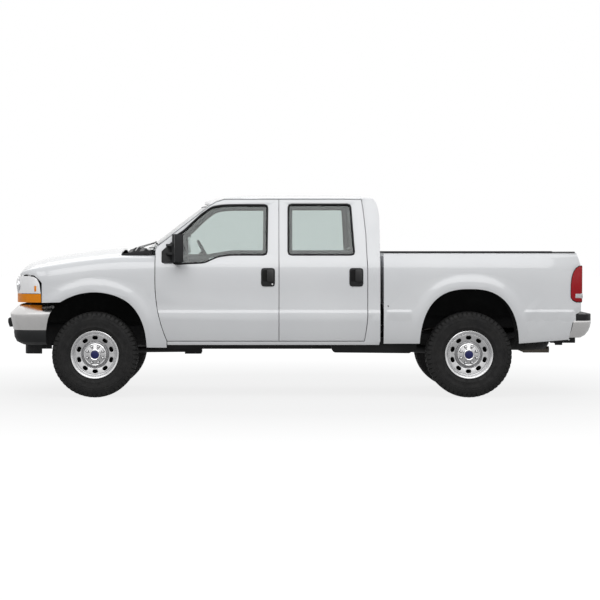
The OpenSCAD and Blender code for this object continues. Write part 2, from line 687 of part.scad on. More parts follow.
module front_valance() {
    face = front_x + 22;
    end_at = function(z) axle_fx - 514;
    color(black) {
        bumper_shell(face, bumper_w, 380, [[36, 715.7], [34, 690], [40, 640], [64, 590], [128, 556]], 1, end_at, 6);
        // Rubber guards on the bumper's face
        both() side_prism(560, 690) polygon([
            [front_x, 825], [front_x, 790], [front_x + 16, 742], [face + 25.5, 742], [face + 15, 780],
            [face + 5, 840], [front_x + 12, 840]]);
        // Deeper air dam across the middle
        translate([0, 0, 445]) linear_extrude(110.7) polygon(concat(
            bumper_path(face, 660, 240, 129, 1, face + 325),
            flip(bumper_path(face, 660, 240, 139, 1, face + 325))));
    }
}

module rear_bumper() {
    face = rear_x;
    end_at = function(z) bed_rx - 62 - (885 - z) * 0.235;
    top_z = 885;
    color("silver") bumper_shell(face, 1000, 190, [[0, 816], [1, 790], [8, 750], [26, 705], [60, 660],
        [104, 634]], -1, end_at, 5);
    // Step plate with a tow-ball hole
    color(black) difference() {
        translate([0, 0, 816.3]) linear_extrude(top_z - 816.3) difference() {
            polygon(bumper_path(face, 1000, 190, 2, -1, bed_rx - 50));
            square_at(bed_rx - 400, bed_rx + 12, -788, 788);
        }
        box(bed_rx + 30, rear_x - 30, -760, 760, 800, top_z - 8);
        translate([ball_x, 0, 800]) cylinder(h = 120, r = ball_hole_r);
        // Recess for the plate
        box(rear_x - 26, rear_x + 10, -165, 165, 800, top_z - 8);
    }
    color(dark) both() box(frame_rx + 0.3, rear_x - 28, rail_y - rail_w + 8, rail_y - 8, 705, 745);
}
ball_x = rear_x - 62;

module tail_lamps() {
    x0 = bed_rx - 108;
    x1 = bed_rx + 15;
    y1 = side_half_w + 11;
    color("red") both() intersection() {
        translate([0, 0, 1000]) linear_extrude(420) difference() {
            intersection() {
                square_at(x0, x1, 812, y1);
                offset(r = 30) offset(delta = -30) square_at(x0 - 200, x1, 600, y1);
            }
            square_at(x0 - 10, bed_rx + 0.4, 700, side_half_w + 2.8);
        }
        side_prism(700, 1100) polygon([
            [x1 + 5, 1018], [x0 + 58, 1018], [x0 + 20, 1036], [x0 + 2, 1062], [x0, 1100], [x0 + 2, 1200],
            [x0 + 10, 1270], [x0 + 26, 1325], [x0 + 54, 1370], [x0 + 84, 1390], [x1 + 5, 1394]]);
    }
}

// ---- Bed ----

bed_in_w = 818;
bed_t = 22;
module bed_floor() {
    house = 424;
    color(white) {
        difference() {
            box(bed_fx + 40.3, bed_rx - tailgate_t - 14, -bed_in_w + 0.3, bed_in_w - 0.3, bed_floor_z - 30,
                bed_floor_z);
            for (s = [-1, 1]) scale([1, s, 1])
                box(axle_rx - house, axle_rx + house, house_y - 0.3, 900, 900, 1100);
            // Pressed grooves between the ribs
            for (i = [-7:7]) if (abs(i * 96) < bed_in_w - 90)
                box(bed_fx + 60, bed_rx - tailgate_t - 70, i * 96 - 22, i * 96 + 22, bed_floor_z - 12,
                    bed_floor_z + 1);
        }
        // Cross sills that rest on the frame
        for (x = [bed_fx + 130, axle_rx - 560, axle_rx + 560, bed_rx - 190])
            box(x - 40, x + 40, -bed_in_w + 20, bed_in_w - 20, sill_z, bed_floor_z - 30);
        // Sill under the tailgate
        box(bed_rx - 155, bed_rx - 6, -780, 780, sill_z, bed_floor_z - 44);
    }
}
house_y = 600;
sill_z = 892;

module bed_inner_walls() {
    x1 = bed_rx - 60;
    top = rail_z - 8;
    color(white) both() {
        difference() {
            box(bed_fx + 4, x1, bed_in_w, bed_in_w + bed_t, bed_floor_z - 60, top);
            side_prism(700, 900) polygon(concat([polar(false, 10, 400)], opening_arc(false, 4, 10, 170, 40)));
        }
        // Top flange, out to the side panel
        box(bed_fx + 6, x1, bed_in_w + bed_t, plain_w(top - 12) - sheet_t - 12, top - 12, top);
        // Wheel housing, out to the opening's lip
        intersection() {
            side_prism(house_y, 1100) opening_band(false, 3, 9, 14, 166);
            inside_lip(false, 14);
        }
        side_prism(house_y, house_y + 6) polygon(concat(opening_arc(false, 4, 40, 140, 30)));
        // Corner post behind the tail lamp
        difference() {
            intersection() {
                cross_prism(x1, bed_rx - 0.4) polygon(concat(
                    [for (z = [920, 1150, 1240, 1300, 1340, 1380, 1415, 1445, 1475, 1500])
                        [plain_w(z) - sheet_t - 3.4, z]],
                    [[tailgate_half_w + 8, 1500], [tailgate_half_w + 8, 920]]));
                side_prism(700, 1100) polygon([[x1, 900], [bed_rx - 0.4, 900], [bed_rx - 0.4, 1380],
                    [bed_rx - 34, 1470], [bed_rx - 60, 1502], [x1, 1510]]);
            }
            rod_y(tail_hinge[0], tail_hinge[1], 700, tailgate_half_w + 60, hinge_pin_r + run_fit);
        }
    }
}

module bed_front_wall() {
    color(white) box(bed_fx + 4, bed_fx + 40, -bed_in_w + 0.3, bed_in_w - 0.3, bed_floor_z - 30, rail_z - 30);
}

module bed_rails() {
    color(black) both() {
        side_prism(bed_in_w - 6, side_half_w - 74) rounded(5) polygon([
            [bed_fx + 2, rail_z + 0.3], [bed_fx + 2, rail_z + 14], [bed_rx - 62, rail_z + 14],
            [bed_rx - 44, rail_z + 0.3]]);
    }
}

tail_hinge = [bed_rx - 30, bed_floor_z + 6];
hinge_pin_r = 9;
module tailgate() {
    x0 = bed_rx - tailgate_t;
    bottom = bed_floor_z - 6;
    color(white) difference() {
        side_prism(-tailgate_half_w, tailgate_half_w) rounded(8) polygon([
            [x0, bottom], [bed_rx - 2, bottom], [bed_rx, bottom + 60], [bed_rx, 1400], [bed_rx - 16, 1470],
            [bed_rx - 40, rail_z - 6], [x0, rail_z - 6]]);
        // Recess for the handle
        box(bed_rx - 22, bed_rx + 10, -120, 120, 1330, 1420);
    }
    // Hinge pins
    color(dark) both() rod_y(tail_hinge[0], tail_hinge[1], tailgate_half_w - 20, tailgate_half_w + 40, hinge_pin_r);
}

// ---- Chassis ----

frame_fx = axle_fx - 800;
frame_rx = bed_rx - 70;
front_rail_z = 600;
rear_rail_z = sill_z - rail_h - 0.3;
module rail_outline() {
    polygon([
        [frame_fx, front_rail_z + 20], [axle_fx + 470, front_rail_z], [axle_fx + 690, frame_z],
        [axle_rx - 860, frame_z], [axle_rx - 560, rear_rail_z], [axle_rx + 620, rear_rail_z],
        [frame_rx, rear_rail_z - 60], [frame_rx, rear_rail_z - 60 + rail_h], [axle_rx + 660, rear_rail_z + rail_h],
        [axle_rx - 620, rear_rail_z + rail_h], [axle_rx - 920, frame_z + rail_h],
        [axle_fx + 750, frame_z + rail_h], [axle_fx + 530, front_rail_z + rail_h],
        [frame_fx, front_rail_z + rail_h]]);
}
module frame() {
    color(black) {
        both() {
            side_prism(rail_y - rail_w, rail_y) rail_outline();
            // Spring hangers
            for (x = [-spring_fl - 30.3, spring_fl + 30.3])
                box(axle_fx + x - 30, axle_fx + x + 30, rail_y - rail_w, rail_y, 530, front_rail_z + 40);
            for (x = [-spring_rl - 30.3, spring_rl + 30.3])
                box(axle_rx + x - 30, axle_rx + x + 30, rail_y - 2, rail_y + spring_w + 12, 600, rear_rail_z + 80);
        }
        for (x = [frame_fx + 20, axle_rx - 1500, axle_rx - 560, spare_x, frame_rx - 90])
            box(x - 40, x + 40, -rail_y + 5, rail_y - 5, cross_z(x), cross_z(x) + 70);
        // Front crossmember, under the horns
        box(axle_fx - 600, axle_fx - 510, -rail_y, rail_y, 526, front_rail_z);
        both() box(axle_fx - 600, axle_fx - 510, rail_y - rail_w, rail_y, front_rail_z - 10, front_rail_z + 30);
        // Hoist that holds the spare wheel
        translate([spare_x, 0, spare_z + spare_hub_h + 0.3])
            cylinder(h = cross_z(spare_x) - spare_z - spare_hub_h + 5, r = 48);
    }
}
function cross_z(x) = x < axle_fx + 500 ? front_rail_z + 40 : x < axle_rx - 700 ? frame_z + 100
    : x < axle_rx + 650 ? rear_rail_z + 60 : rear_rail_z - 10;

spring_fl = 470;
spring_rl = 680;
// A leaf pack: an arc whose lowest point is over the axle
module leaf_arc(l, sag, t) {
    r = (l * l + sag * sag) / (2 * sag);
    intersection() {
        translate([0, r]) difference() {
            circle(r = r, $fn = 200);
            circle(r = r - t, $fn = 200);
        }
        translate([-l, -10]) square([2 * l, sag + t + 20]);
    }
}
axle_r = 44;
module leaf_springs() {
    front_y = rail_y - spring_w - 3;
    rear_y = rail_y + 6;
    color(dark) both() {
        side_prism(front_y, front_y + spring_w) {
            translate([axle_fx, axle_z + axle_r + 12]) leaf_arc(spring_fl, 28, 40);
            translate([axle_fx - 70, axle_z + axle_r + 0.3]) square([140, 14]);
        }
        side_prism(rear_y, rear_y + spring_w) {
            translate([axle_rx, axle_z + axle_r + 62]) leaf_arc(spring_rl, 96, 56);
            translate([axle_rx - 60, axle_z + axle_r + 6.3]) square([120, 62]);
        }
    }
}

module front_axle() {
    diff_y = -240;
    color(dark) {
        rod_y(axle_fx, axle_z, -kingpin_y + 76, kingpin_y - 76, axle_r);
        rod_y(axle_fx, axle_z, diff_y - 95, diff_y + 95, 118);
        translate([axle_fx, diff_y, axle_z]) rotate([0, 90, 0]) cylinder(h = 175, r1 = 105, r2 = 62);
        // Forks that hold the steering knuckles, bored for the pivot pins
        both() difference() {
            union() {
                for (s = [-1, 1]) box(axle_fx - 34, axle_fx + 34, kingpin_y - 92, kingpin_y + 30,
                    axle_z + s * 92 - 17, axle_z + s * 92 + 17);
                box(axle_fx - 34, axle_fx + 34, kingpin_y - 92, kingpin_y - 62, axle_z - 109, axle_z + 109);
            }
            translate([axle_fx, kingpin_y, axle_z - 200]) cylinder(h = 400, r = 14 + run_fit);
        }
    }
}

// The knuckle turns about an upright pin between the forks and carries the wheel's spindle
module knuckle() {
    color(dark) {
        translate([axle_fx, kingpin_y, axle_z - 118]) cylinder(h = 236, r = 14);
        box(axle_fx - 40, axle_fx + 40, kingpin_y - 32, kingpin_y + 44, axle_z - 68, axle_z + 68);
        rod_y(axle_fx, axle_z, kingpin_y + 40, spindle_end, spindle_r);
        // Steering arm and the pin for the tie rod
        box(axle_fx - steer_arm - 20, axle_fx - 20, kingpin_y - 16, kingpin_y + 16, axle_z - 64, axle_z - 40);
        translate([axle_fx - steer_arm, kingpin_y, axle_z - 100]) cylinder(h = 50, r = 9);
    }
}
spindle_end = track_half + 66;
module tie_rod() {
    z = axle_z - 84;
    color(dark) difference() {
        union() {
            rod_y(axle_fx - steer_arm, z, -kingpin_y + 18, kingpin_y - 18, 15);
            both() translate([axle_fx - steer_arm, kingpin_y, z - 16]) cylinder(h = 32, r = 24);
        }
        both() translate([axle_fx - steer_arm, kingpin_y, z - 60]) cylinder(h = 120, r = 9 + run_fit);
    }
}

module rear_axle() {
    color(dark) {
        rod_y(axle_rx, axle_z, -spindle_end, spindle_end, spindle_r);
        rod_y(axle_rx, axle_z, -track_half + 120, track_half - 120, axle_r + 6);
        rod_y(axle_rx, axle_z, -110, 110, 168);
        translate([axle_rx - 250, 0, axle_z]) rotate([0, 90, 0]) cylinder(h = 240, r1 = 66, r2 = 120);
    }
}

// ---- Wheels ----

rim_r = rim_d / 2;
bead_r = rim_r - 20;
module rim() {
    half = tyre_w / 2 - 22;
    color("silver") difference() {
        rotate_extrude($fn = 128) {
            // Barrel with its two flanges
            polygon([
                [bead_r - 12, -half], [rim_r, -half], [rim_r, -half + 10], [bead_r, -half + 22],
                [bead_r, half - 22], [rim_r, half - 10], [rim_r, half], [rim_r - 10, half],
                [bead_r - 12, half - 20]]);
            // Disc, dished out towards the hub
            polygon([
                [0, 8], [104, 8], [118, 2], [150, 30], [205, 44], [bead_r - 6, 30], [bead_r - 6, 44],
                [205, 58], [150, 46], [128, 20], [118, 60], [60, 66], [56, 96], [0, 98]]);
        }
        // Ten oval hand holes
        for (i = [0:9]) rotate(i * 36 + 18) {
            for (y = [-9, 9]) translate([179, y, 0]) cylinder(h = 120, r = 21);
            translate([158, -9, 0]) cube([42, 18, 120]);
        }
        translate([0, 0, -40]) cylinder(h = 40 + 76.5, r = spindle_r + run_fit);
    }
}
module tyre() {
    half = tyre_w / 2;
    r = tyre_d / 2;
    color(black) rotate_extrude($fn = 128) polygon([
        [bead_r + 0.05, -half + 46], [rim_r + 14, -half + 26], [rim_r + 50, -half + 4], [rim_r + 100, -half],
        [r - 60, -half + 8], [r - 26, -half + 20], [r - 6, -half + 42], [r, -half + 74],
        [r, half - 74], [r - 6, half - 42], [r - 26, half - 20], [r - 60, half - 8],
        [rim_r + 100, half], [rim_r + 50, half - 4], [rim_r + 14, half - 26], [bead_r + 0.05, half - 46]]);
}
module place_wheel(x, side) {
    translate([x, side * track_half, axle_z]) rotate([side > 0 ? -90 : 90, 0, 0]) children();
}

spare_d = 760;
spare_x = axle_rx + 590;
spare_z = 478;
spare_hub_h = 170;
module spare_wheel() {
    color(black) translate([spare_x, 0, spare_z]) {
        rotate_extrude() polygon([[210, 20], [240, 0], [330, -4], [spare_d / 2 - 20, 20], [spare_d / 2, 60],
            [spare_d / 2, 160], [spare_d / 2 - 20, 200], [330, 220], [240, 216], [210, 196]]);
        rotate_extrude() polygon([[30, 150], [120, 150], [150, 120], [209.7, 110], [209.7, 130], [150, 140],
            [120, spare_hub_h], [30, spare_hub_h]]);
    }
}

// ---- Plain blocks under the hood and floor ----

module engine_block() {
    color(dark) {
        box(axle_fx - 420, axle_fx + 330, -270, 270, 800, 1330);
        box(axle_fx - 300, axle_fx + 260, -150, 190, 660, 800);
        // Radiator and its support
        box(axle_fx - 730, axle_fx - 670, -480, 480, front_rail_z + rail_h + 0.3, 1330);
        both() box(axle_fx - 60, axle_fx + 60, 270, rail_y - 10, front_rail_z + rail_h + 0.3, 850);
        // Rubber stops under the hood
        both() side_prism(stop_y - 10, stop_y + 10) polygon([
            [axle_fx - 720, 1320], [axle_fx - 720, stop_top(axle_fx - 720)],
            [axle_fx - 680, stop_top(axle_fx - 680)], [axle_fx - 680, 1320]]);
    }
}

stop_y = 440;
function stop_top(x) = hood_top(x, (stop_y + 10) / hood_half_w(x)) - hood_t - 1.5;

module driveline() {
    gear_z = 640;
    color(dark) {
        rod_x(0, gear_z, axle_fx + 330.3, axle_fx + 700, 150);
        rod_x(0, gear_z, axle_fx + 700, axle_fx + 1000, 105);
        box(axle_fx + 930, axle_fx + 1110, -270, 120, 430, 720);
        // Shafts to both axles
        shaft([axle_fx + 176, -240, axle_z + 20], [axle_fx + 940, -235, 480], 32);
        shaft([axle_fx + 1100, 0, 620], [axle_rx - 256, 0, axle_z + 8], 46);
        box(axle_fx + 640, axle_fx + 720, -rail_y + rail_w + 0.3, rail_y - rail_w - 0.3, 470, 520);
    }
}
module shaft(a, b, r) {
    d = b - a;
    l = norm(d);
    translate(a) rotate([0, acos(d[2] / l), atan2(d[1], d[0])]) cylinder(h = l, r = r);
}

module exhaust() {
    color(dark) {
        rod_x(540, 560, axle_fx + 900, axle_rx - 1500, 36);
        rod_x(540, 560, axle_rx - 1500, axle_rx - 900, 92);
        shaft([axle_rx - 905, 540, 560], [axle_rx - 640, 558, 560], 36);
        shaft([axle_rx - 650, 558, 552], [axle_rx - 200, 558, 660], 36);
        shaft([axle_rx - 214, 558, 660], [axle_rx + 214, 558, 660], 36);
        shaft([axle_rx + 200, 558, 664], [axle_rx + 780, 560, 436], 36);
        rod_x(560, 436, axle_rx + 760, axle_rx + 1050, 36);
        // Hangers on the frame
        for (x = [axle_fx + 1200, axle_rx - 1300]) box(x, x + 30, rail_y + 0.3, 520, 560, 590);
    }
}

module fuel_tank() {
    color(black) {
        side_prism(-790, -(rail_y + spring_w + 20)) rounded(40) polygon([
            [axle_rx - 1440, 470], [axle_rx - 1470, 620], [axle_rx - 560, 620], [axle_rx - 540, 520],
            [axle_rx - 620, 462]]);
        // Brackets on the frame
        for (x = [axle_rx - 1300, axle_rx - 860])
            box(x, x + 50, -(rail_y + spring_w + 30), -rail_y - 0.3, 540, 600);
    }
}

module hitch_receiver() {
    half = hitch_bore / 2;
    wall = 6.35;
    plate_y = rail_y - rail_w - 0.3;
    z = 570;
    color(black) difference() {
        union() {
            box(receiver_x - 270, receiver_x, -half - wall, half + wall, z - half - wall, z + half + wall);
            rod_y(receiver_x - 230, z, -plate_y + 6, plate_y - 6, 34);
            both() box(receiver_x - 270, receiver_x - 190, plate_y - 12, plate_y, z - 40, rear_rail_z - 10.3);
        }
        box(receiver_x - 320, receiver_x + 10, -half, half, z - half, z + half);
        rod_y(receiver_x - 63, z, -60, 60, hitch_pin_r);
    }
}
receiver_x = rear_x - 60;

// ---- Doors, glass and mirrors ----

module front_door() { door() { front_door_outline(); front_window_outline(); } }
module rear_door() { door() { rear_door_outline(); rear_window_outline(); } }

module mirror_right() {
    y = cab_w(belt_z);
    color(black) {
        // Sail plate in the window's front corner
        intersection() {
            side_prism(800, 1100) rounded(10) polygon([
                [door_fx + 64, belt_z - 78], [door_fx + 64, belt_z + 44], [door_fx + 180, belt_z + 154],
                [door_fx + 180, belt_z - 78]]);
            skin_wall([-14, -14], [-0.3, -0.3]);
        }
        // Arms and the head
        for (z = [belt_z + 10, belt_z + 100]) box(door_fx + 110, door_fx + 150, cab_w(z) + 1, y + 120, z, z + 22);
        translate([door_fx + 130, y + 60, belt_z - 70]) rotate([0, 0, -6])
            linear_extrude(296) rounded(22) square_at(0, 92, 0, 190);
    }
}

// ---- Cabin ----

module dashboard() {
    x0 = door_fx - 39.7;
    color(dark) difference() {
        side_prism(-760, 760) rounded(24) polygon([
            [x0, 1140], [x0, 1500], [x0 + 120, 1530], [x0 + 330, 1516], [x0 + 400, 1440], [x0 + 380, 1240],
            [x0 + 300, 1130]]);
        box(x0 + 260, x0 + 500, -250, 250, 1000, 1230);
        translate(wheel_pos) rotate([0, 90 - wheel_tilt, 0]) translate([0, 0, -360]) cylinder(h = 400, r = 41);
    }
    // Steering column, bored for the wheel's shaft
    color(dark) translate(wheel_pos) rotate([0, 90 - wheel_tilt, 0]) translate([0, 0, -359.8]) difference() {
        cylinder(h = 260, r = 41.2);
        translate([0, 0, 100]) cylinder(h = 200, r = column_r + run_fit);
    }
}
column_r = 12;

wheel_pos = [door_fx + 520, -400, 1500];
wheel_tilt = 28;
module steering_wheel() {
    color(black) translate(wheel_pos) rotate([0, 90 - wheel_tilt, 0]) {
        rotate_extrude() translate([180, 0]) circle(r = 14);
        for (a = [30, 150, 270]) rotate(a) translate([0, 0, -34]) rotate([0, 76, 0])
            cylinder(h = 172, r = 9);
        translate([0, 0, -56]) cylinder(h = 50, r = 64);
        translate([0, 0, -94]) cylinder(h = 60, r = 26);
        translate([0, 0, -200]) cylinder(h = 120, r = column_r);
    }
}

module front_seats() {
    color("gray") for (s = [-1, 1]) scale([1, s, 1]) seat(door_fx + 640, 140, 660);
}
module rear_seat() {
    color("gray") seat(door_mx + 200, -640, 640);
}
module seat(x, y0, y1) {
    side_prism(y0 < 0 ? y0 + 30 : 215, y1 - 30) polygon([
        [x + 40, floor_z + 0.3], [x + 460, floor_z + 0.3], [x + 430, floor_z + 156.6], [x + 40, floor_z + 171.6]]);
    side_prism(y0, y1) rounded(36) polygon([
        [x - 40, floor_z + 175], [x - 50, floor_z + 320], [x + 60, floor_z + 340], [x + 470, floor_z + 290],
        [x + 480, floor_z + 155]]);
    side_prism(y0, y1) rounded(40) polygon([
        [x + 420, floor_z + 293], [x + 560, floor_z + 275], [x + 690, floor_z + 840], [x + 590, floor_z + 860],
        [x + 540, floor_z + 780]]);
    for (y = y0 < 0 ? [-330, 330] : [(y0 + y1) / 2])
        side_prism(y - 120, y + 120) rounded(26) polygon([
            [x + 600, floor_z + 858.2], [x + 694, floor_z + 840.2], [x + 706, floor_z + 1000],
            [x + 628, floor_z + 1010]]);
}

frame();
front_axle();
rear_axle();
leaf_springs();
engine_block();
driveline();
exhaust();
fuel_tank();
spare_wheel();
hitch_receiver();
front_bumper();
front_valance();
rear_bumper();
grille();
headlamps();
tail_lamps();
front_fenders();
arch_liners();
cab_floor();
cab_sides();
firewall();
cab_back();
roof();
windshield();
rear_window();
dashboard();
front_seats();
rear_seat();
bed_floor();
bed_sides();
bed_inner_walls();
bed_front_wall();
bed_rails();
hood();
tailgate();
mirror([0, 1, 0]) front_door();  // front_door_left
front_door();  // front_door_right
mirror([0, 1, 0]) rear_door();  // rear_door_left
rear_door();  // rear_door_right
mirror([0, 1, 0]) door_pane() front_window_outline();  // front_glass_left
door_pane() front_window_outline();  // front_glass_right
mirror([0, 1, 0]) door_pane() rear_window_outline();  // rear_glass_left
door_pane() rear_window_outline();  // rear_glass_right
mirror([0, 1, 0]) mirror_right();  // mirror_left
mirror_right();
steering_wheel();
mirror([0, 1, 0]) knuckle();  // knuckle_left
knuckle();  // knuckle_right
tie_rod();
place_wheel(axle_fx, -1) rim();  // rim_front_left
place_wheel(axle_fx, 1) rim();  // rim_front_right
place_wheel(axle_rx, -1) rim();  // rim_rear_left
place_wheel(axle_rx, 1) rim();  // rim_rear_right
place_wheel(axle_fx, -1) tyre();  // tyre_front_left
place_wheel(axle_fx, 1) tyre();  // tyre_front_right
place_wheel(axle_rx, -1) tyre();  // tyre_rear_left
place_wheel(axle_rx, 1) tyre();  // tyre_rear_right
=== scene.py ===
import json
import math

import bpy
from mathutils import Matrix, Vector
from mathutils.bvhtree import BVHTree

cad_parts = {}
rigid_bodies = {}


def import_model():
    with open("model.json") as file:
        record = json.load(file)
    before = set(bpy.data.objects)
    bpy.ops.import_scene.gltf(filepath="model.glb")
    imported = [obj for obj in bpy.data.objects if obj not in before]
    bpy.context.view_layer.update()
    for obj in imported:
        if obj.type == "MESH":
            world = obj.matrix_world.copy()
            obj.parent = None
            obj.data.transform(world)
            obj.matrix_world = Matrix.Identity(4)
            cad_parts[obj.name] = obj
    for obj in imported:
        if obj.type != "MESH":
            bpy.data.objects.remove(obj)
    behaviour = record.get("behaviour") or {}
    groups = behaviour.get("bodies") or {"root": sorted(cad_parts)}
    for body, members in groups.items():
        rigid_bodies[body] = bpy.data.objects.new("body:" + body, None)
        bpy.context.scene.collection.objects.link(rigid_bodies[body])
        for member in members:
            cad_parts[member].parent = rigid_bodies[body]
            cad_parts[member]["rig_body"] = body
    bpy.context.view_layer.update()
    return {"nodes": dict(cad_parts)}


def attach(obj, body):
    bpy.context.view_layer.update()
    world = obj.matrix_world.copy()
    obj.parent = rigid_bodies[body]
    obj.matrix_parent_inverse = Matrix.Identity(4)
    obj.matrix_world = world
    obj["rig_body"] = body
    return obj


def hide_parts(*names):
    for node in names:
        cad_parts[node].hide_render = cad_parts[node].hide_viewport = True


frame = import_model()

nodes = frame["nodes"]
scene = bpy.context.scene

# Stations of the truck in metres, nose towards -X, driver's side -Y
truck = {"axleFront": -2.1695, "axleRear": 1.7975, "axleHeight": 0.454, "trackHalf": 0.838,
         "doorFront": -1.5255, "doorMiddle": -0.2175, "cabRear": 0.8535, "belt": 1.506, "roofEdge": 2.115}
hub = Vector((truck["axleFront"], -truck["trackHalf"], truck["axleHeight"]))  # left front wheel
smoothBelow = 36  # degrees between two faces, past which an edge stays sharp


# Small jobs that every piece needs
def pickOnly(*pieces):
    if bpy.context.object and bpy.context.object.mode != "OBJECT":
        bpy.ops.object.mode_set(mode="OBJECT")
    bpy.ops.object.select_all(action="DESELECT")
    for piece in pieces:
        piece.select_set(True)
    bpy.context.view_layer.objects.active = pieces[0]


def settle(piece, name):
    # puts the place of a finished piece into its mesh
    pickOnly(piece)
    bpy.ops.object.transform_apply(location=True, rotation=True, scale=True)
    piece.name = name
    piece.data.name = name
    return piece


def smoothen(piece, angle=smoothBelow):
    pickOnly(piece)
    bpy.ops.object.shade_smooth_by_angle(angle=math.radians(angle))
    return piece


def roundEdges(piece, width, segments=2):
    pickOnly(piece)
    mod = piece.modifiers.new("bevel", "BEVEL")
    mod.width = width
    mod.segments = segments
    mod.limit_method = "ANGLE"
    mod.angle_limit = math.radians(32)
    bpy.ops.object.modifier_apply(modifier=mod.name)
    return smoothen(piece)


def block(name, low, high, edge=0.0, segments=2):
    low, high = Vector(low), Vector(high)
    bpy.ops.object.select_all(action="DESELECT")
    bpy.ops.mesh.primitive_cube_add(size=1, location=(low + high) / 2)
    piece = bpy.context.object
    piece.scale = high - low
    settle(piece, name)
    if edge:
        roundEdges(piece, edge, segments)
    return piece


axisTurn = {"x": (0, math.pi / 2, 0), "y": (math.pi / 2, 0, 0)}


def rod(name, centre, radius, length, axis, sides, edge):
    bpy.ops.object.select_all(action="DESELECT")
    bpy.ops.mesh.primitive_cylinder_add(vertices=sides, radius=radius, depth=length, location=centre,
                                        rotation=axisTurn[axis])
    return roundEdges(settle(bpy.context.object, name), edge)


def ring(name, centre, radius, thickness, axis, around, section):
    bpy.ops.object.select_all(action="DESELECT")
    bpy.ops.mesh.primitive_torus_add(major_radius=radius, minor_radius=thickness, major_segments=around,
                                     minor_segments=section, location=centre, rotation=axisTurn[axis])
    return smoothen(settle(bpy.context.object, name), 60)


def drawLine(points, closed=False):
    # one vertex, pushed along the points by extruding, and filled with a face if closed
    bpy.ops.object.select_all(action="DESELECT")
    bpy.ops.mesh.primitive_plane_add(size=0.001, location=points[0])
    piece = bpy.context.object
    bpy.ops.object.mode_set(mode="EDIT")
    bpy.ops.mesh.select_all(action="SELECT")
    bpy.ops.mesh.merge(type="CENTER")
    for a, b in zip(points, points[1:]):
        bpy.ops.mesh.extrude_region_move(TRANSFORM_OT_translate={"value": Vector(b) - Vector(a)})
    if closed:
        bpy.ops.mesh.select_all(action="SELECT")
        bpy.ops.mesh.edge_face_add()
    bpy.ops.object.mode_set(mode="OBJECT")
    return piece


def plate(name, outline, push, edge=0.0, segments=2):
    # a flat outline pushed into a solid
    piece = drawLine(outline, closed=True)
    bpy.ops.object.mode_set(mode="EDIT")
    bpy.ops.mesh.select_all(action="SELECT")
    bpy.ops.mesh.extrude_region_move(TRANSFORM_OT_translate={"value": push})
    bpy.ops.mesh.select_all(action="SELECT")
    bpy.ops.mesh.normals_make_consistent(inside=False)
    bpy.ops.object.mode_set(mode="OBJECT")
    settle(piece, name)
    if edge:
        roundEdges(piece, edge, segments)
    return piece


def lathe(name, profile, steps):
    # (radius, outward) pairs spun round the axle of the left front wheel; outward is -Y
    path = [(hub.x, hub.y - out, hub.z + radius) for radius, out in profile]
    piece = drawLine(path + path[:1])
    bpy.ops.object.mode_set(mode="EDIT")
    bpy.ops.mesh.select_all(action="SELECT")
    bpy.ops.mesh.spin(steps=steps, angle=2 * math.pi, center=tuple(hub), axis=(0, 1, 0))
    bpy.ops.mesh.select_all(action="SELECT")
    bpy.ops.mesh.remove_doubles(threshold=0.00005)
    bpy.ops.mesh.normals_make_consistent(inside=False)
    bpy.ops.object.mode_set(mode="OBJECT")
    return smoothen(settle(piece, name), 30)


def tubeAlong(name, points, radius):
    # a round bar along a line of points
    curve = bpy.data.curves.new(name, "CURVE")
    curve.dimensions = "3D"
    spline = curve.splines.new("POLY")
    spline.points.add(len(points) - 1)
    for spot, co in zip(spline.points, points):
        spot.co = (*co, 1)
    curve.bevel_depth = radius
    curve.bevel_resolution = 2
    curve.use_fill_caps = True
    piece = bpy.data.objects.new(name, curve)
    scene.collection.objects.link(piece)
    pickOnly(piece)
    bpy.ops.object.convert(target="MESH")
    return smoothen(settle(bpy.context.object, name), 60)


def moveMesh(piece, matrix):
    piece.data.transform(matrix)
    if matrix.determinant() < 0:
        piece.data.flip_normals()
    return piece


def copyOf(piece, name, matrix=Matrix.Identity(4)):
    other = bpy.data.objects.new(name, piece.data.copy())
    other.data.name = name
    scene.collection.objects.link(other)
    return moveMesh(other, matrix)


flipSide = Matrix.Scale(-1, 4, (0, 1, 0))


def joinAll(name, pieces):
    pickOnly(*pieces)
    bpy.ops.object.join()
    piece = bpy.context.object
    piece.name = name
    piece.data.name = name
    return piece


def dress(piece, material):
    piece.data.materials.clear()
    piece.data.materials.append(material)
    return piece


def rideWith(piece, node):
    # the piece moves with the body that the CAD node is on
    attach(piece, nodes[node]["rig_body"])
    return piece


def bothSides(piece, leftNode):
    # the piece on the driver's side and its mirror image
    other = copyOf(piece, piece.name.replace("left", "right"), flipSide)
    for one, node in ((piece, leftNode), (other, leftNode.replace("left", "right"))):
        rideWith(one, node)


def refine(node, material, edge):
    # a copy of a CAD panel with its loose triangles merged and its edges rounded
    piece = copyOf(nodes[node], node + "_panel")
    pickOnly(piece)
    bpy.ops.object.mode_set(mode="EDIT")
    bpy.ops.mesh.select_all(action="SELECT")
    bpy.ops.mesh.remove_doubles(threshold=0.00001)
    bpy.ops.mesh.dissolve_limited(angle_limit=math.radians(0.4))
    bpy.ops.object.mode_set(mode="OBJECT")
    if edge:
        roundEdges(piece, edge)
    else:
        smoothen(piece)
    rideWith(dress(piece, material), node)
    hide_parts(node)
    return piece


# Finishes: each has some of uneven colour, uneven shine and a fine relief
def newFinish(name, colour, roughness, metallic=0.0):
    material = bpy.data.materials.new(name)
    material.use_nodes = True
    tree = material.node_tree
    shader = tree.nodes["Principled BSDF"]
    shader.inputs["Base Color"].default_value = (*colour, 1)
    shader.inputs["Roughness"].default_value = roughness
    shader.inputs["Metallic"].default_value = metallic
    place = tree.nodes.new("ShaderNodeTexCoord")
    return material, tree, shader, place.outputs["Object"]


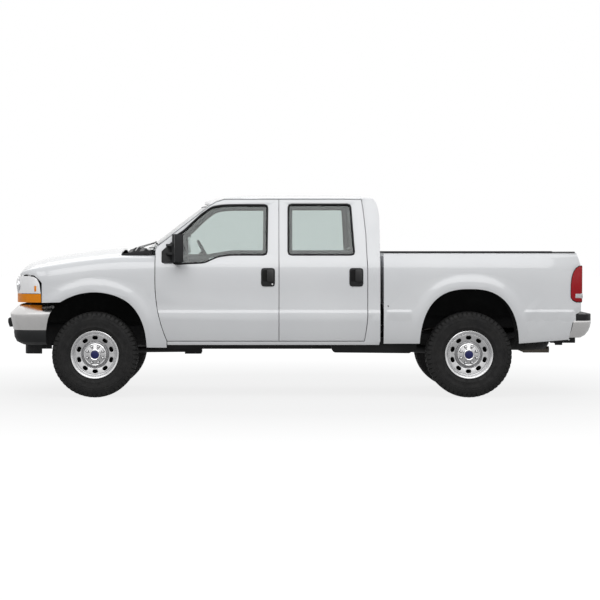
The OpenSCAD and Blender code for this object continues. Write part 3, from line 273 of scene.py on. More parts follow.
def addNoise(tree, place, scale, detail):
    noise = tree.nodes.new("ShaderNodeTexNoise")
    noise.inputs["Scale"].default_value = scale
    noise.inputs["Detail"].default_value = detail
    noise.inputs["Roughness"].default_value = 0.55
    tree.links.new(place, noise.inputs["Vector"])
    return noise.outputs["Fac"]


def tintBy(tree, shader, fac, dark, light, low=0.35, high=0.65):
    ramp = tree.nodes.new("ShaderNodeValToRGB")
    ramp.color_ramp.elements[0].position = low
    ramp.color_ramp.elements[1].position = high
    ramp.color_ramp.elements[0].color = (*dark, 1)
    ramp.color_ramp.elements[1].color = (*light, 1)
    tree.links.new(fac, ramp.inputs["Fac"])
    tree.links.new(ramp.outputs["Color"], shader.inputs["Base Color"])


def roughBy(tree, shader, fac, low, high):
    span = tree.nodes.new("ShaderNodeMapRange")
    span.inputs["From Min"].default_value = 0.3
    span.inputs["From Max"].default_value = 0.7
    span.inputs["To Min"].default_value = low
    span.inputs["To Max"].default_value = high
    tree.links.new(fac, span.inputs["Value"])
    tree.links.new(span.outputs["Result"], shader.inputs["Roughness"])


def bumpBy(tree, shader, height, strength, distance, socket="Normal", before=None):
    bump = tree.nodes.new("ShaderNodeBump")
    bump.inputs["Strength"].default_value = strength
    bump.inputs["Distance"].default_value = distance
    tree.links.new(height, bump.inputs["Height"])
    if before:
        tree.links.new(before.outputs["Normal"], bump.inputs["Normal"])
    tree.links.new(bump.outputs["Normal"], shader.inputs[socket])
    return bump


def whitePaint():
    material, tree, shader, place = newFinish("whitePaint", (0.75, 0.76, 0.775), 0.32)
    shader.inputs["Coat Weight"].default_value = 1.0
    shader.inputs["Coat Roughness"].default_value = 0.04
    tintBy(tree, shader, addNoise(tree, place, 1.3, 3), (0.735, 0.745, 0.762),
           (0.765, 0.774, 0.788))
    roughBy(tree, shader, addNoise(tree, place, 6, 4), 0.28, 0.36)
    bumpBy(tree, shader, addNoise(tree, place, 420, 2), 0.03, 0.0004, "Coat Normal")
    return material


def paintedInner():
    material, tree, shader, place = newFinish("bedPaint", (0.7, 0.72, 0.74), 0.4)
    tintBy(tree, shader, addNoise(tree, place, 5, 6), (0.62, 0.63, 0.64), (0.73, 0.745, 0.765),
           0.3, 0.6)
    roughBy(tree, shader, addNoise(tree, place, 18, 5), 0.3, 0.55)
    bumpBy(tree, shader, addNoise(tree, place, 300, 3), 0.08, 0.0006)
    return material


def grainedPlastic(name, colour, roughness, grain=900, strength=0.25, spread=0.25, gloss=0.25):
    material, tree, shader, place = newFinish(name, colour, roughness)
    shader.inputs["Specular IOR Level"].default_value = gloss
    tintBy(tree, shader, addNoise(tree, place, 3.5, 5), tuple(c * (1 - spread) for c in colour),
           tuple(min(1, c * (1 + spread)) for c in colour))
    roughBy(tree, shader, addNoise(tree, place, 14, 4), roughness - 0.08,
            min(1, roughness + 0.08))
    bumpBy(tree, shader, addNoise(tree, place, grain, 2), strength, 0.0005)
    return material


def brightMetal(name, colour, roughness, grain=None, spread=0.06, dirt=0.0):
    material, tree, shader, place = newFinish(name, colour, roughness, 1.0)
    dark = tuple(c * (1 - dirt) for c in colour)
    tintBy(tree, shader, addNoise(tree, place, 9, 6), dark, colour, 0.25, 0.5)
    roughBy(tree, shader, addNoise(tree, place, 22, 5), max(0.01, roughness - spread),
            roughness + spread)
    if grain:
        bumpBy(tree, shader, addNoise(tree, place, grain, 2), 0.08, 0.0003)
    return material


def tyreRubber():
    material, tree, shader, place = newFinish("tyreRubber", (0.011, 0.011, 0.0115), 0.72)
    shader.inputs["Specular IOR Level"].default_value = 0.3
    tintBy(tree, shader, addNoise(tree, place, 7, 6), (0.008, 0.008, 0.0085),
           (0.017, 0.0165, 0.016), 0.3, 0.7)
    roughBy(tree, shader, addNoise(tree, place, 25, 4), 0.6, 0.85)
    bumpBy(tree, shader, addNoise(tree, place, 650, 3), 0.2, 0.0006)
    return material


def tintedGlass(name, colour):
    material, tree, shader, place = newFinish(name, colour, 0.0)
    shader.inputs["Transmission Weight"].default_value = 1.0
    shader.inputs["IOR"].default_value = 1.45
    roughBy(tree, shader, addNoise(tree, place, 3, 2), 0.0, 0.015)
    return material


def lensPlastic(name, colour, flutes, strength, transmission=0.1, roughness=0.2, coat=0.4,
                metallic=0.0):
    # a fluted lamp cover; the metallic ones show a silvery bowl behind clear plastic
    material, tree, shader, place = newFinish(name, colour, roughness, metallic)
    shader.inputs["Transmission Weight"].default_value = transmission
    shader.inputs["Specular IOR Level"].default_value = 0.25
    shader.inputs["Coat Weight"].default_value = coat
    shader.inputs["Coat Roughness"].default_value = 0.03
    wave = tree.nodes.new("ShaderNodeTexWave")
    wave.bands_direction = "Z"
    wave.inputs["Scale"].default_value = flutes
    wave.inputs["Distortion"].default_value = 0.0
    tree.links.new(place, wave.inputs["Vector"])
    bumpBy(tree, shader, wave.outputs["Fac"], strength, 0.0012)
    roughBy(tree, shader, addNoise(tree, place, 30, 3), roughness, roughness + 0.05)
    return material


def seatCloth():
    material, tree, shader, place = newFinish("seatCloth", (0.2, 0.195, 0.19), 0.9)
    shader.inputs["Sheen Weight"].default_value = 0.4
    shader.inputs["Sheen Roughness"].default_value = 0.5
    tintBy(tree, shader, addNoise(tree, place, 60, 5), (0.15, 0.147, 0.143), (0.24, 0.235, 0.228))
    weave = tree.nodes.new("ShaderNodeTexWave")
    weave.inputs["Scale"].default_value = 220
    weave.inputs["Distortion"].default_value = 3.0
    tree.links.new(place, weave.inputs["Vector"])
    first = bumpBy(tree, shader, weave.outputs["Fac"], 0.35, 0.0008)
    bumpBy(tree, shader, addNoise(tree, place, 500, 2), 0.25, 0.0008, before=first)
    return material


paint = whitePaint()
bedPaint = paintedInner()
trimBlack = grainedPlastic("trimBlack", (0.017, 0.0175, 0.0185), 0.55)
satinBlack = grainedPlastic("satinBlack", (0.014, 0.014, 0.0145), 0.35, 500, 0.1, 0.25, 0.4)
sealRubber = grainedPlastic("sealRubber", (0.012, 0.012, 0.013), 0.6, 700, 0.15)
chassisBlack = grainedPlastic("chassisBlack", (0.018, 0.018, 0.019), 0.6, 250, 0.35, 0.4)
linerBlack = grainedPlastic("linerBlack", (0.008, 0.008, 0.008), 0.85, 200, 0.4)
cabinPlastic = grainedPlastic("cabinPlastic", (0.08, 0.083, 0.08), 0.6)
cabinDark = grainedPlastic("cabinDark", (0.045, 0.047, 0.046), 0.6)
cabinCarpet = grainedPlastic("cabinCarpet", (0.07, 0.07, 0.068), 0.95, 350, 0.9, 0.35)
chrome = brightMetal("chrome", (0.72, 0.72, 0.73), 0.09, None, 0.03, 0.08)
bumperChrome = brightMetal("bumperChrome", (0.7, 0.69, 0.685), 0.2, None, 0.05, 0.08)
alloy = brightMetal("polishedAlloy", (0.6, 0.6, 0.605), 0.3, None, 0.05, 0.1)
alloyBright = brightMetal("brightAlloy", (0.78, 0.78, 0.785), 0.14, None, 0.04)
dullSteel = brightMetal("dullSteel", (0.13, 0.115, 0.1), 0.55, 160, 0.12, 0.4)
castIron = brightMetal("castIron", (0.2, 0.19, 0.18), 0.6, 120, 0.1, 0.4)
rubber = tyreRubber()
paneGlass = tintedGlass("paneGlass", (0.63, 0.685, 0.67))
screenGlass = tintedGlass("screenGlass", (0.6, 0.65, 0.64))
clearLens = lensPlastic("clearLens", (0.82, 0.82, 0.83), 90, 0.3, 0.0, 0.28, 1.0, 0.55)
amberLens = lensPlastic("amberLens", (0.98, 0.3, 0.001), 120, 0.4, 0.0, 0.3, 0.05)
redLens = lensPlastic("redLens", (0.38, 0.003, 0.008), 130, 0.35, 0.0, 0.2, 0.12)
whiteLens = lensPlastic("whiteLens", (0.7, 0.7, 0.7), 130, 0.5)
reflector = brightMetal("reflector", (0.85, 0.85, 0.86), 0.12, 90, 0.04)
mirrorGlass = brightMetal("mirrorGlass", (0.8, 0.82, 0.82), 0.03, None, 0.01)
cloth = seatCloth()
satinMetal = brightMetal("satinMetal", (0.5, 0.5, 0.5), 0.4, 300)
print("finishes made")


# Body panels: copies of the CAD panels with softened edges
panelEdges = {"thin": 0.0015, "metal": 0.002, "plastic": 0.003, "panel": 0.004, "thick": 0.006}
doors = ("front_door_left", "front_door_right", "rear_door_left", "rear_door_right")
panels = {}
for panel in ("front_fenders", "bed_sides"):
    panels[panel] = refine(panel, paint, panelEdges["thin"])
for panel in ("cab_sides", "roof", "hood", "tailgate", "cab_back") + doors:
    panels[panel] = refine(panel, paint, panelEdges["panel"])
panels["bed_floor"] = refine("bed_floor", bedPaint, 0.0)
for panel in ("bed_inner_walls", "bed_front_wall"):
    panels[panel] = refine(panel, bedPaint, panelEdges["metal"])
for panel in ("bed_rails", "front_valance", "arch_liners", "fuel_tank"):
    plastic = linerBlack if panel == "arch_liners" else trimBlack
    refine(panel, plastic, panelEdges["plastic"])
for panel in ("front_bumper", "rear_bumper", "grille"):
    bright = chrome if panel == "grille" else bumperChrome
    panels[panel] = refine(panel, bright, panelEdges["metal"])
for panel in ("frame", "front_axle", "rear_axle", "leaf_springs", "driveline", "hitch_receiver",
              "knuckle_left", "knuckle_right", "tie_rod", "firewall"):
    refine(panel, chassisBlack, panelEdges["metal"])
refine("engine_block", castIron, panelEdges["thick"])
refine("exhaust", dullSteel, 0.0)
refine("cab_floor", cabinCarpet, panelEdges["panel"])
refine("dashboard", cabinDark, panelEdges["thick"])
refine("windshield", screenGlass, 0.0)
for pane in ("rear_window", "front_glass_left", "front_glass_right", "rear_glass_left",
             "rear_glass_right"):
    refine(pane, paneGlass, 0.0)

# The ledge low on the doors is drawn together, so that it catches the light
ledge = {"foot": 0.86, "low": 0.9, "high": 0.965, "keep": 0.62, "lift": 0.006, "proud": 0.007,
         "footHalf": 0.985, "faceHalf": 0.97}
for panel in doors + ("cab_sides",):
    for v in panels[panel].data.vertices:
        if ledge["low"] < v.co.z < ledge["high"] and abs(v.co.y) > ledge["faceHalf"]:
            v.co.z = ledge["low"] + (v.co.z - ledge["low"]) * ledge["keep"] + ledge["lift"]
        elif ledge["foot"] < v.co.z <= ledge["low"] and abs(v.co.y) > ledge["footHalf"]:
            v.co.y += math.copysign(ledge["proud"], v.co.y)
print("panels refined")

# Wheels: profiles hold (radius, outward) pairs, measured from the middle of the wheel
wheelData = {"lugs": 54, "shoulderWidth": 0.036, "blockWidth": 0.034, "lugEdge": 0.0025,
             "nuts": 8, "nutCircle": 0.09, "nutRadius": 0.0125, "nutLength": 0.028, "nutOut": 0.078,
             "seatRadius": 0.0165, "seatLength": 0.003, "seatOut": 0.0665,
             "valveRadius": 0.0042, "valveLength": 0.036, "valveOut": 0.09, "valveCircle": 0.2265}


def lugRing(outline, width, shift):
    # one tread block, then copies of it round the wheel
    points = [(hub.x - width / 2, hub.y - out, hub.z + radius) for radius, out in outline]
    lug = plate("lug", points, (width, 0, 0), wheelData["lugEdge"], 1)
    toHub = Matrix.Translation(hub)
    made = []
    for i in range(wheelData["lugs"]):
        turn = Matrix.Rotation(2 * math.pi * (i + shift) / wheelData["lugs"], 4, "Y")
        made.append(copyOf(lug, "lug", toHub @ turn @ toHub.inverted()))
    bpy.data.objects.remove(lug)
    return joinAll("lugs", made)


def otherWay(outline):
    return [(radius, -out) for radius, out in outline]


def makeTyre():
    outer = [(0.2535, 0.112), (0.262, 0.121), (0.275, 0.128), (0.29, 0.136), (0.294, 0.1395),
             (0.299, 0.1395), (0.303, 0.1385), (0.33, 0.1455), (0.352, 0.1475), (0.357, 0.1478),
             (0.3585, 0.1458), (0.372, 0.1458), (0.3735, 0.1472), (0.3775, 0.1468), (0.379, 0.1445),
             (0.398, 0.142), (0.415, 0.136), (0.43, 0.126), (0.4395, 0.11), (0.4425, 0.086),
             (0.4435, 0.045), (0.444, 0)]
    bead = [(0.2425, -0.1), (0.2425, 0.1)]
    carcass = lathe("carcass", outer + otherWay(reversed(outer[:-1])) + bead, 96)
    shoulder = [(0.402, 0.1445), (0.428, 0.1402), (0.444, 0.131), (0.4525, 0.112), (0.4535, 0.088),
                (0.438, 0.088), (0.43, 0.12), (0.41, 0.135)]
    second = [(0.4537, 0.08), (0.4537, 0.038), (0.438, 0.038), (0.438, 0.08)]
    middle = [(0.4538, 0.029), (0.4538, -0.029), (0.438, -0.029), (0.438, 0.029)]
    rows = [lugRing(shoulder, wheelData["shoulderWidth"], 0),
            lugRing(otherWay(shoulder), wheelData["shoulderWidth"], 0.5),
            lugRing(second, wheelData["blockWidth"], 0.5),
            lugRing(otherWay(second), wheelData["blockWidth"], 0),
            lugRing(middle, wheelData["blockWidth"], 0.25)]
    return dress(joinAll("tyre_front_left_tread", [carcass] + rows), rubber)


def onWheel(name, turn, circle, out, radius, length, sides, edge):
    # a round part that points outwards, at an angle on a circle round the hub
    centre = (hub.x + circle * math.cos(turn), hub.y - out, hub.z + circle * math.sin(turn))
    return rod(name, centre, radius, length, "y", sides, edge)


def makeNuts():
    data = wheelData
    made = []
    for i in range(data["nuts"]):
        turn = 2 * math.pi * (i + 0.5) / data["nuts"]
        nut = onWheel("nut", turn, data["nutCircle"], data["nutOut"], data["nutRadius"],
                      data["nutLength"], 6, 0.003)
        seat = onWheel("seat", turn, data["nutCircle"], data["seatOut"], data["seatRadius"],
                       data["seatLength"], 24, 0.001)
        made += [dress(nut, chrome), dress(seat, satinBlack)]
    return made


def makeWheelTrim():
    lip = lathe("lip", [(0.2375, 0.1), (0.2375, 0.12), (0.2395, 0.1255), (0.243, 0.1275),
                        (0.2515, 0.1275), (0.2555, 0.1245), (0.2563, 0.119), (0.254, 0.114)], 96)
    step = lathe("step", [(0.204, 0.05), (0.2075, 0.063), (0.211, 0.0665), (0.2165, 0.0665),
                          (0.222, 0.063), (0.2265, 0.05)], 96)
    collar = lathe("collar", [(0.046, 0.094), (0.0475, 0.1015), (0.052, 0.1035), (0.0565, 0.1015),
                              (0.061, 0.09), (0.0625, 0.066), (0.0585, 0.06)], 64)
    flange = lathe("flange", [(0.106, 0.06), (0.1075, 0.0655), (0.112, 0.067), (0.1165, 0.0645),
                              (0.119, 0.056)], 64)
    bright = [dress(piece, alloyBright) for piece in (lip, step, collar, flange)]
    nuts = makeNuts()
    cap = lathe("cap", [(0, 0.1045), (0.022, 0.1038), (0.037, 0.1015), (0.0445, 0.0965),
                        (0.0445, 0.09), (0, 0.09)], 48)
    valve = rod("valve", (hub.x, hub.y - wheelData["valveOut"], hub.z - wheelData["valveCircle"]),
                wheelData["valveRadius"], wheelData["valveLength"], "y", 12, 0.0015)
    last = [dress(cap, capBlue), dress(valve, satinBlack)]
    return joinAll("rim_front_left_trim", bright + nuts + last)


capBlue = grainedPlastic("capBlue", (0.018, 0.022, 0.11), 0.22, 300, 0.05)
tread = makeTyre()
trim = makeWheelTrim()
moveBack = Matrix.Translation((truck["axleRear"] - truck["axleFront"], 0, 0))
corners = {"front_left": Matrix.Identity(4), "front_right": flipSide, "rear_left": moveBack,
           "rear_right": moveBack @ flipSide}
shieldOutline = [(0.07, -0.035), (0.07, -0.041), (0.192, -0.041), (0.2, -0.047), (0.204, -0.044),
                 (0.195, -0.035)]
for corner, place in corners.items():
    for piece, kind, slotName in ((tread, "tyre", "tyre"), (trim, "rim", "wheel")):
        if corner != "front_left":
            piece = copyOf(piece, piece.name.replace("front_left", corner), place)
        rideWith(piece, kind + "_" + corner)
        if kind == "tyre":
            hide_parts("tyre_" + corner)
    refine("rim_" + corner, alloy, panelEdges["thin"])
    holder = corner.replace("front", "knuckle") if corner.startswith("front") else "rear_axle"
    shield = moveMesh(lathe("brake_shield_" + corner, shieldOutline, 64), place)
    rideWith(dress(shield, linerBlack), holder)
refine("spare_wheel", rubber, panelEdges["thick"])
print("wheels made")


def recolour(piece, material, test):
    # a second finish on the faces that pass the test
    piece.data.materials.append(material)
    last = len(piece.data.materials) - 1
    for face in piece.data.polygons:
        if test(face.center, face.normal):
            face.material_index = last


# Heights, stations and half widths where a second finish starts
divide = {"bedFloor": 0.975, "cabinFloor": 0.8, "backFloor": 0.79, "stepPad": 0.8162,
          "bumperHorns": 0.44, "rearHorns": 3.08, "rearHornTop": 0.76, "frontHorns": -3.05,
          "housingLength": 0.53, "housingHalf": 0.59, "housingTop": 1.2}


def facesIn(c, n):
    return n.y * c.y < -0.3 * abs(c.y)


def facesDown(c, n):
    return n.z < -0.3


def facesAxle(c, n):
    # the wheel's side of the housings in the bed
    reach = Vector((c.x - truck["axleRear"], c.z - truck["axleHeight"]))
    along = abs(reach.x) < divide["housingLength"]
    inHousing = along and abs(c.y) > divide["housingHalf"] and c.z < divide["housingTop"]
    return inHousing and (n.x * reach.x + n.z * reach.y < 0 or n.y * c.y > 0.4)


def underBed(c, n):
    return facesDown(c, n) or c.z < divide["bedFloor"]


def doorLining(c, n):
    return facesIn(c, n) and n.z < 0.9


def sideLining(c, n):
    return facesIn(c, n) and c.z > divide["cabinFloor"]


def backLining(c, n):
    return n.x < -0.5 and c.z > divide["backFloor"]


def stepPad(c, n):
    return c.z > divide["stepPad"]


def rearHorns(c, n):
    inside = abs(c.y) < divide["bumperHorns"] and c.x < divide["rearHorns"]
    return inside and c.z < divide["rearHornTop"]


def frontHorns(c, n):
    return abs(c.y) < divide["bumperHorns"] and c.x > divide["frontHorns"]


for panel, material, test in (
        ("bed_sides", linerBlack, facesIn), ("front_fenders", linerBlack, facesIn),
        ("bed_inner_walls", linerBlack, facesAxle), ("bed_floor", chassisBlack, underBed),
        *((door, cabinPlastic, doorLining) for door in doors),
        ("cab_sides", cabinPlastic, sideLining), ("roof", cloth, facesDown),
        ("cab_back", cabinPlastic, backLining), ("hood", chassisBlack, facesDown),
        ("rear_bumper", trimBlack, stepPad), ("rear_bumper", chassisBlack, rearHorns),
        ("front_bumper", chassisBlack, frontHorns)):
    recolour(panels[panel], material, test)


skinTrees = {}


def skinAt(node, start, way):
    # where a straight line from start first meets a CAD node
    if node not in skinTrees:
        mesh = nodes[node].data
        skinTrees[node] = BVHTree.FromPolygons([v.co for v in mesh.vertices],
                                               [p.vertices for p in mesh.polygons])
    return skinTrees[node].ray_cast(Vector(start), Vector(way))[0]


def sideSpot(node, x, z):
    # the place on the driver's side of a node
    return skinAt(node, (x, -2, z), (0, 1, 0))


def screenSpot(y, z):
    # the place on the outer face of the windshield
    return skinAt("windshield", (-3, y, z), (1, 0, 0))


def widthAt(node, x, z):
    return abs(sideSpot(node, x, z).y)


def softCorners(points, reach):
    # rounds each corner of a closed line
    made = []
    count = len(points)
    for i in range(count):
        a, p, b = (Vector(points[(i + k) % count]) for k in (-1, 0, 1))
        p1 = p + (a - p).normalized() * min(reach, (a - p).length / 2.2)
        p2 = p + (b - p).normalized() * min(reach, (b - p).length / 2.2)
        made += [p1, p1 * 0.25 + p * 0.5 + p2 * 0.25, p2]
    return made + [made[0]]


# The ledge of the doors goes on along the bed, in front of the flare and behind it
strip = {"levels": (0.8, 0.85, 0.885, 0.903, 0.908, 0.913, 0.936, 0.94),
         "proud": (-0.001, 0.004, 0.0075, 0.0095, 0.0098, 0.009, -0.0005, -0.002),
         "fade": 0.05, "sunk": 0.0015, "thick": 0.003, "steps": 30, "bedLow": 0.9,
         "spans": {"bed_ledge_front_left": (0.9, 1.21), "bed_ledge_rear_left": (2.36, 2.92)}}


def ledgeStrip(name, x0, x1):
    bpy.ops.object.select_all(action="DESELECT")
    rows = len(strip["levels"])
    bpy.ops.mesh.primitive_grid_add(x_subdivisions=strip["steps"], y_subdivisions=rows - 1, size=2)
    piece = bpy.context.object
    for v in piece.data.vertices:
        x = x0 + (x1 - x0) * (v.co.x + 1) / 2
        row = round((v.co.y + 1) / 2 * (rows - 1))
        ends = min(1, (x - x0) / strip["fade"], (x1 - x) / strip["fade"])
        rise = ends * ends * (3 - 2 * ends)
        out = strip["proud"][row] * rise - strip["sunk"] * (1 - rise)
        z = strip["levels"][row]
        spot = sideSpot("bed_sides", x, z) or sideSpot("bed_sides", x, strip["bedLow"])
        v.co = (x, spot.y - out, z)
    mod = piece.modifiers.new("thick", "SOLIDIFY")
    mod.thickness = strip["thick"]
    mod.offset = -1
    bpy.ops.object.modifier_apply(modifier=mod.name)
    return dress(smoothen(settle(piece, name), 25), paint)


for name, (x0, x1) in strip["spans"].items():
    bothSides(ledgeStrip(name, x0, x1), "bed_sides")

# Windows: the side glass leans in by lean above the belt and by foot below it
belt, roofEdge = truck["belt"], truck["roofEdge"]
doorFront, doorMiddle = truck["doorFront"], truck["doorMiddle"]
window = {"half": 0.916, "lean": 0.293, "foot": 0.46, "sunk": 0.0045, "seal": 0.0115, "corner": 0.035,
          "trimHalf": 0.872, "trimDrop": 0.04, "trimCorner": 0.045, "trimWidth": 0.042,
          "trimEdge": 0.005}
frontTop, rearTop, sill = roofEdge - 0.072, roofEdge - 0.066, belt + 0.006
sealLines = {
    "front_door_left": [(doorFront + 0.19, belt - 0.092), (doorFront + 0.19, belt + 0.19),
                        (doorFront + 0.3, belt + 0.262), (doorFront + 0.47, roofEdge - 0.184),
                        (doorFront + 0.59, roofEdge - 0.096), (doorFront + 0.7, roofEdge - 0.076),
                        (doorFront + 0.8, frontTop), (doorMiddle - 0.122, frontTop),
                        (doorMiddle - 0.13, sill), (doorFront + 0.79, sill),
                        (doorFront + 0.66, belt - 0.014), (doorFront + 0.52, belt - 0.078)],
    "rear_door_left": [(doorMiddle + 0.1, sill), (doorMiddle + 0.102, rearTop),
                       (doorMiddle + 0.762, rearTop), (doorMiddle + 0.79, belt + 0.12),
                       (doorMiddle + 0.8, sill)]}


def sideSeal(node, line):
    spots = []
    for x, z in line:
        slope = window["lean"] if z >= belt else window["foot"]
        half = window["half"] + (belt - z) * slope
        spots.append((x, -half + window["sunk"], z))
    line = softCorners(spots, window["corner"])
    return dress(tubeAlong(node + "_seal", line, window["seal"]), sealRubber)


def innerFrame(node, line):
    # the cabin's own trim round a window, flat and wider than the seal
    line = [(x, max(z, belt - window["trimDrop"])) for x, z in line]
    spots = [(x, -(window["trimHalf"] - (z - belt) * window["lean"]), z) for x, z in line]
    piece = drawLine(softCorners(spots, window["trimCorner"])[:-1], closed=True)
    bpy.ops.object.mode_set(mode="EDIT")
    bpy.ops.mesh.select_all(action="SELECT")
    bpy.ops.mesh.remove_doubles(threshold=0.0005)
    bpy.ops.mesh.inset(thickness=window["trimWidth"], depth=0)
    bpy.ops.mesh.delete(type="FACE")
    bpy.ops.mesh.select_all(action="SELECT")
    bpy.ops.mesh.extrude_region_move(TRANSFORM_OT_translate={"value": (0, 0.02, 0.006)})
    bpy.ops.mesh.select_all(action="SELECT")
    bpy.ops.mesh.normals_make_consistent(inside=False)
    bpy.ops.object.mode_set(mode="OBJECT")
    return dress(roundEdges(settle(piece, node + "_trim"), window["trimEdge"]), cabinPlastic)


for node, line in sealLines.items():
    bothSides(sideSeal(node, line), node)
    bothSides(innerFrame(node, line), node)

rearPane = {"lowHalf": 0.64, "highHalf": 0.59, "low": belt + 0.034, "high": roofEdge - 0.096,
            "lowIn": 0.006, "highIn": 0.02, "corner": 0.045, "seal": 0.009}


def rearSeal():
    low = (truck["cabRear"] - rearPane["lowIn"], rearPane["lowHalf"], rearPane["low"])
    high = (truck["cabRear"] - rearPane["highIn"], rearPane["highHalf"], rearPane["high"])
    spots = [(x, side * half, z) for (x, half, z), side in ((low, -1), (low, 1), (high, 1), (high, -1))]
    line = softCorners(spots, rearPane["corner"])
    return dress(tubeAlong("rear_window_seal", line, rearPane["seal"]), sealRubber)


rideWith(rearSeal(), "rear_window")

shieldData = {"lowHalf": 0.792, "highHalf": 0.655, "rows": (1.585, 1.68, 1.78, 1.88, 1.96, 2.025),
              "column": 0.26, "sunk": 0.004, "corner": 0.03, "seal": 0.008}


def shieldSide(z):
    low, high = shieldData["rows"][0], shieldData["rows"][-1]
    part = (z - low) / (high - low)
    return shieldData["lowHalf"] + (shieldData["highHalf"] - shieldData["lowHalf"]) * part


def shieldSeal():
    # along the bottom, up the right side, back along the top and down the left side
    rows = shieldData["rows"]
    line = [(k * shieldData["column"], rows[0]) for k in range(-2, 3)] + [(shieldSide(z), z) for z in rows]
    line += [(-k * shieldData["column"], rows[-1]) for k in range(-2, 3)]
    line += [(-shieldSide(z), z) for z in reversed(rows)]
    hits = [screenSpot(y, z) for y, z in line]
    spots = [(spot.x + shieldData["sunk"], spot.y, spot.z) for spot in hits if spot]
    line = softCorners(spots, shieldData["corner"])
    return dress(tubeAlong("windshield_seal", line, shieldData["seal"]), sealRubber)


rideWith(shieldSeal(), "windshield")

# Door handles: a base that follows the skin, a dark cup, a paddle and a lock
handle = {"spans": {"front_door_left": (-0.407, -0.26), "rear_door_left": (0.526, 0.674)},
          "base": {"rise": (1.179, 1.374), "depth": (-0.006, 0.0085), "corner": 0.03, "edge": 0.004},
          "cup": {"rise": (1.232, 1.354), "depth": (0.001, 0.0095), "corner": 0.02, "edge": 0.003},
          "paddle": {"rise": (1.226, 1.36), "depth": (0.0, 0.021), "corner": 0.02, "edge": 0.007},
          "lockZ": 1.202, "lockIn": 0.028, "lockOut": 0.0095, "lockRadius": 0.0085, "lockLength": 0.006}


def padOn(name, node, x0, x1, material):
    # a plate with round corners, from one depth to another off the skin
    z0, z1 = handle[name]["rise"]
    low, high = handle[name]["depth"]
    middleX = (x0 + x1) / 2
    middle = widthAt(node, middleX, (z0 + z1) / 2)
    y = -(middle + high)
    outline = softCorners([(x0, y, z0), (x1, y, z0), (x1, y, z1), (x0, y, z1)], handle[name]["corner"])
    piece = plate(name, outline[:-1], (0, high - low, 0), handle[name]["edge"], 3)
    for v in piece.data.vertices:
        v.co.y -= widthAt(node, middleX, v.co.z) - middle
    return dress(piece, material)


def doorHandle(node, x0, x1):
    middle = (x0 + x1) / 2
    made = [padOn("base", node, x0, x1, trimBlack),
            padOn("cup", node, x0 + 0.014, middle + 0.03, linerBlack),
            padOn("paddle", node, middle - 0.012, x1 - 0.012, satinBlack)]
    if node == "front_door_left":
        lockY = -widthAt(node, middle, handle["lockZ"]) - handle["lockOut"]
        lock = rod("lock", (x1 - handle["lockIn"], lockY, handle["lockZ"]), handle["lockRadius"],
                   handle["lockLength"], "y", 24, 0.002)
        made.append(dress(lock, chrome))
    return joinAll(node + "_handle", made)


for node, (x0, x1) in handle["spans"].items():
    bothSides(doorHandle(node, x0, x1), node)

# Mirrors: the heads stand back on their arms, with two panes of glass in the rear face
mirror = {"back": 0.065, "from": 0.95, "to": 1.0, "edge": 0.022, "turn": 6, "ahead": 0.13, "half": 0.976,
          "paneNear": 0.026, "paneFar": 0.166, "paneFront": 0.0915, "paneRear": 0.0935,
          "paneEdge": 0.0009, "panes": ((1.545, 1.708), (1.462, 1.533))}


def standBack(piece):
    for v in piece.data.vertices:
        part = (abs(v.co.y) - mirror["from"]) / (mirror["to"] - mirror["from"])
        v.co.x += mirror["back"] * min(1, max(0, part))


def mirrorPanes(node, sign):
    turn = Matrix.Rotation(math.radians(-mirror["turn"] * sign), 4, "Z")
    place = Matrix.Translation((doorFront + mirror["ahead"], sign * mirror["half"], 0)) @ turn
    y0, y1 = sorted((sign * mirror["paneNear"], sign * mirror["paneFar"]))
    panes = [block("pane", (mirror["paneFront"], y0, low), (mirror["paneRear"], y1, high),
                   mirror["paneEdge"]) for low, high in mirror["panes"]]
    for pane in panes:
        pane.data.transform(place)
    return dress(joinAll(node + "_glass", panes), mirrorGlass)


for node, sign in (("mirror_left", -1), ("mirror_right", 1)):
    standBack(refine(node, trimBlack, mirror["edge"]))
    glass = mirrorPanes(node, sign)
    standBack(glass)
    rideWith(glass, node)
print("seals, handles and mirrors made")

# Headlamps: amber below a divider, with a marker in the side and a round light in the front
headlamp = {"amberTop": 1.102, "hiddenHalf": 0.6, "hiddenFrom": -2.95,
            "divider": 0.0035, "dividerZ": 1.101, "dividerX": (-2.75, -2.8, -2.85, -2.9, -2.95),
            "markerX": (-2.809, -2.772), "markerZ": (1.124, 1.184), "lightY": -0.73, "lightZ": 1.19,
            "lightTurn": 15, "bowlRadius": 0.068, "ringRadius": 0.07, "bulbRadius": 0.024}


def splitHeadlamps():
    lamps = refine("headlamps", clearLens, 0.003)
    lamps.data.materials.append(amberLens)
    lamps.data.materials.append(satinBlack)
    pickOnly(lamps)
    bpy.ops.object.mode_set(mode="EDIT")
    bpy.ops.mesh.select_all(action="SELECT")
    bpy.ops.mesh.bisect(plane_co=(0, 0, headlamp["amberTop"]), plane_no=(0, 0, 1))
    bpy.ops.object.mode_set(mode="OBJECT")
    for face in lamps.data.polygons:
        c = face.center
        inside = abs(c.y) < headlamp["hiddenHalf"] and c.x > headlamp["hiddenFrom"]
        hidden = inside and face.normal.x > -0.9
        face.material_index = 2 if hidden else 1 if c.z < headlamp["amberTop"] else 0


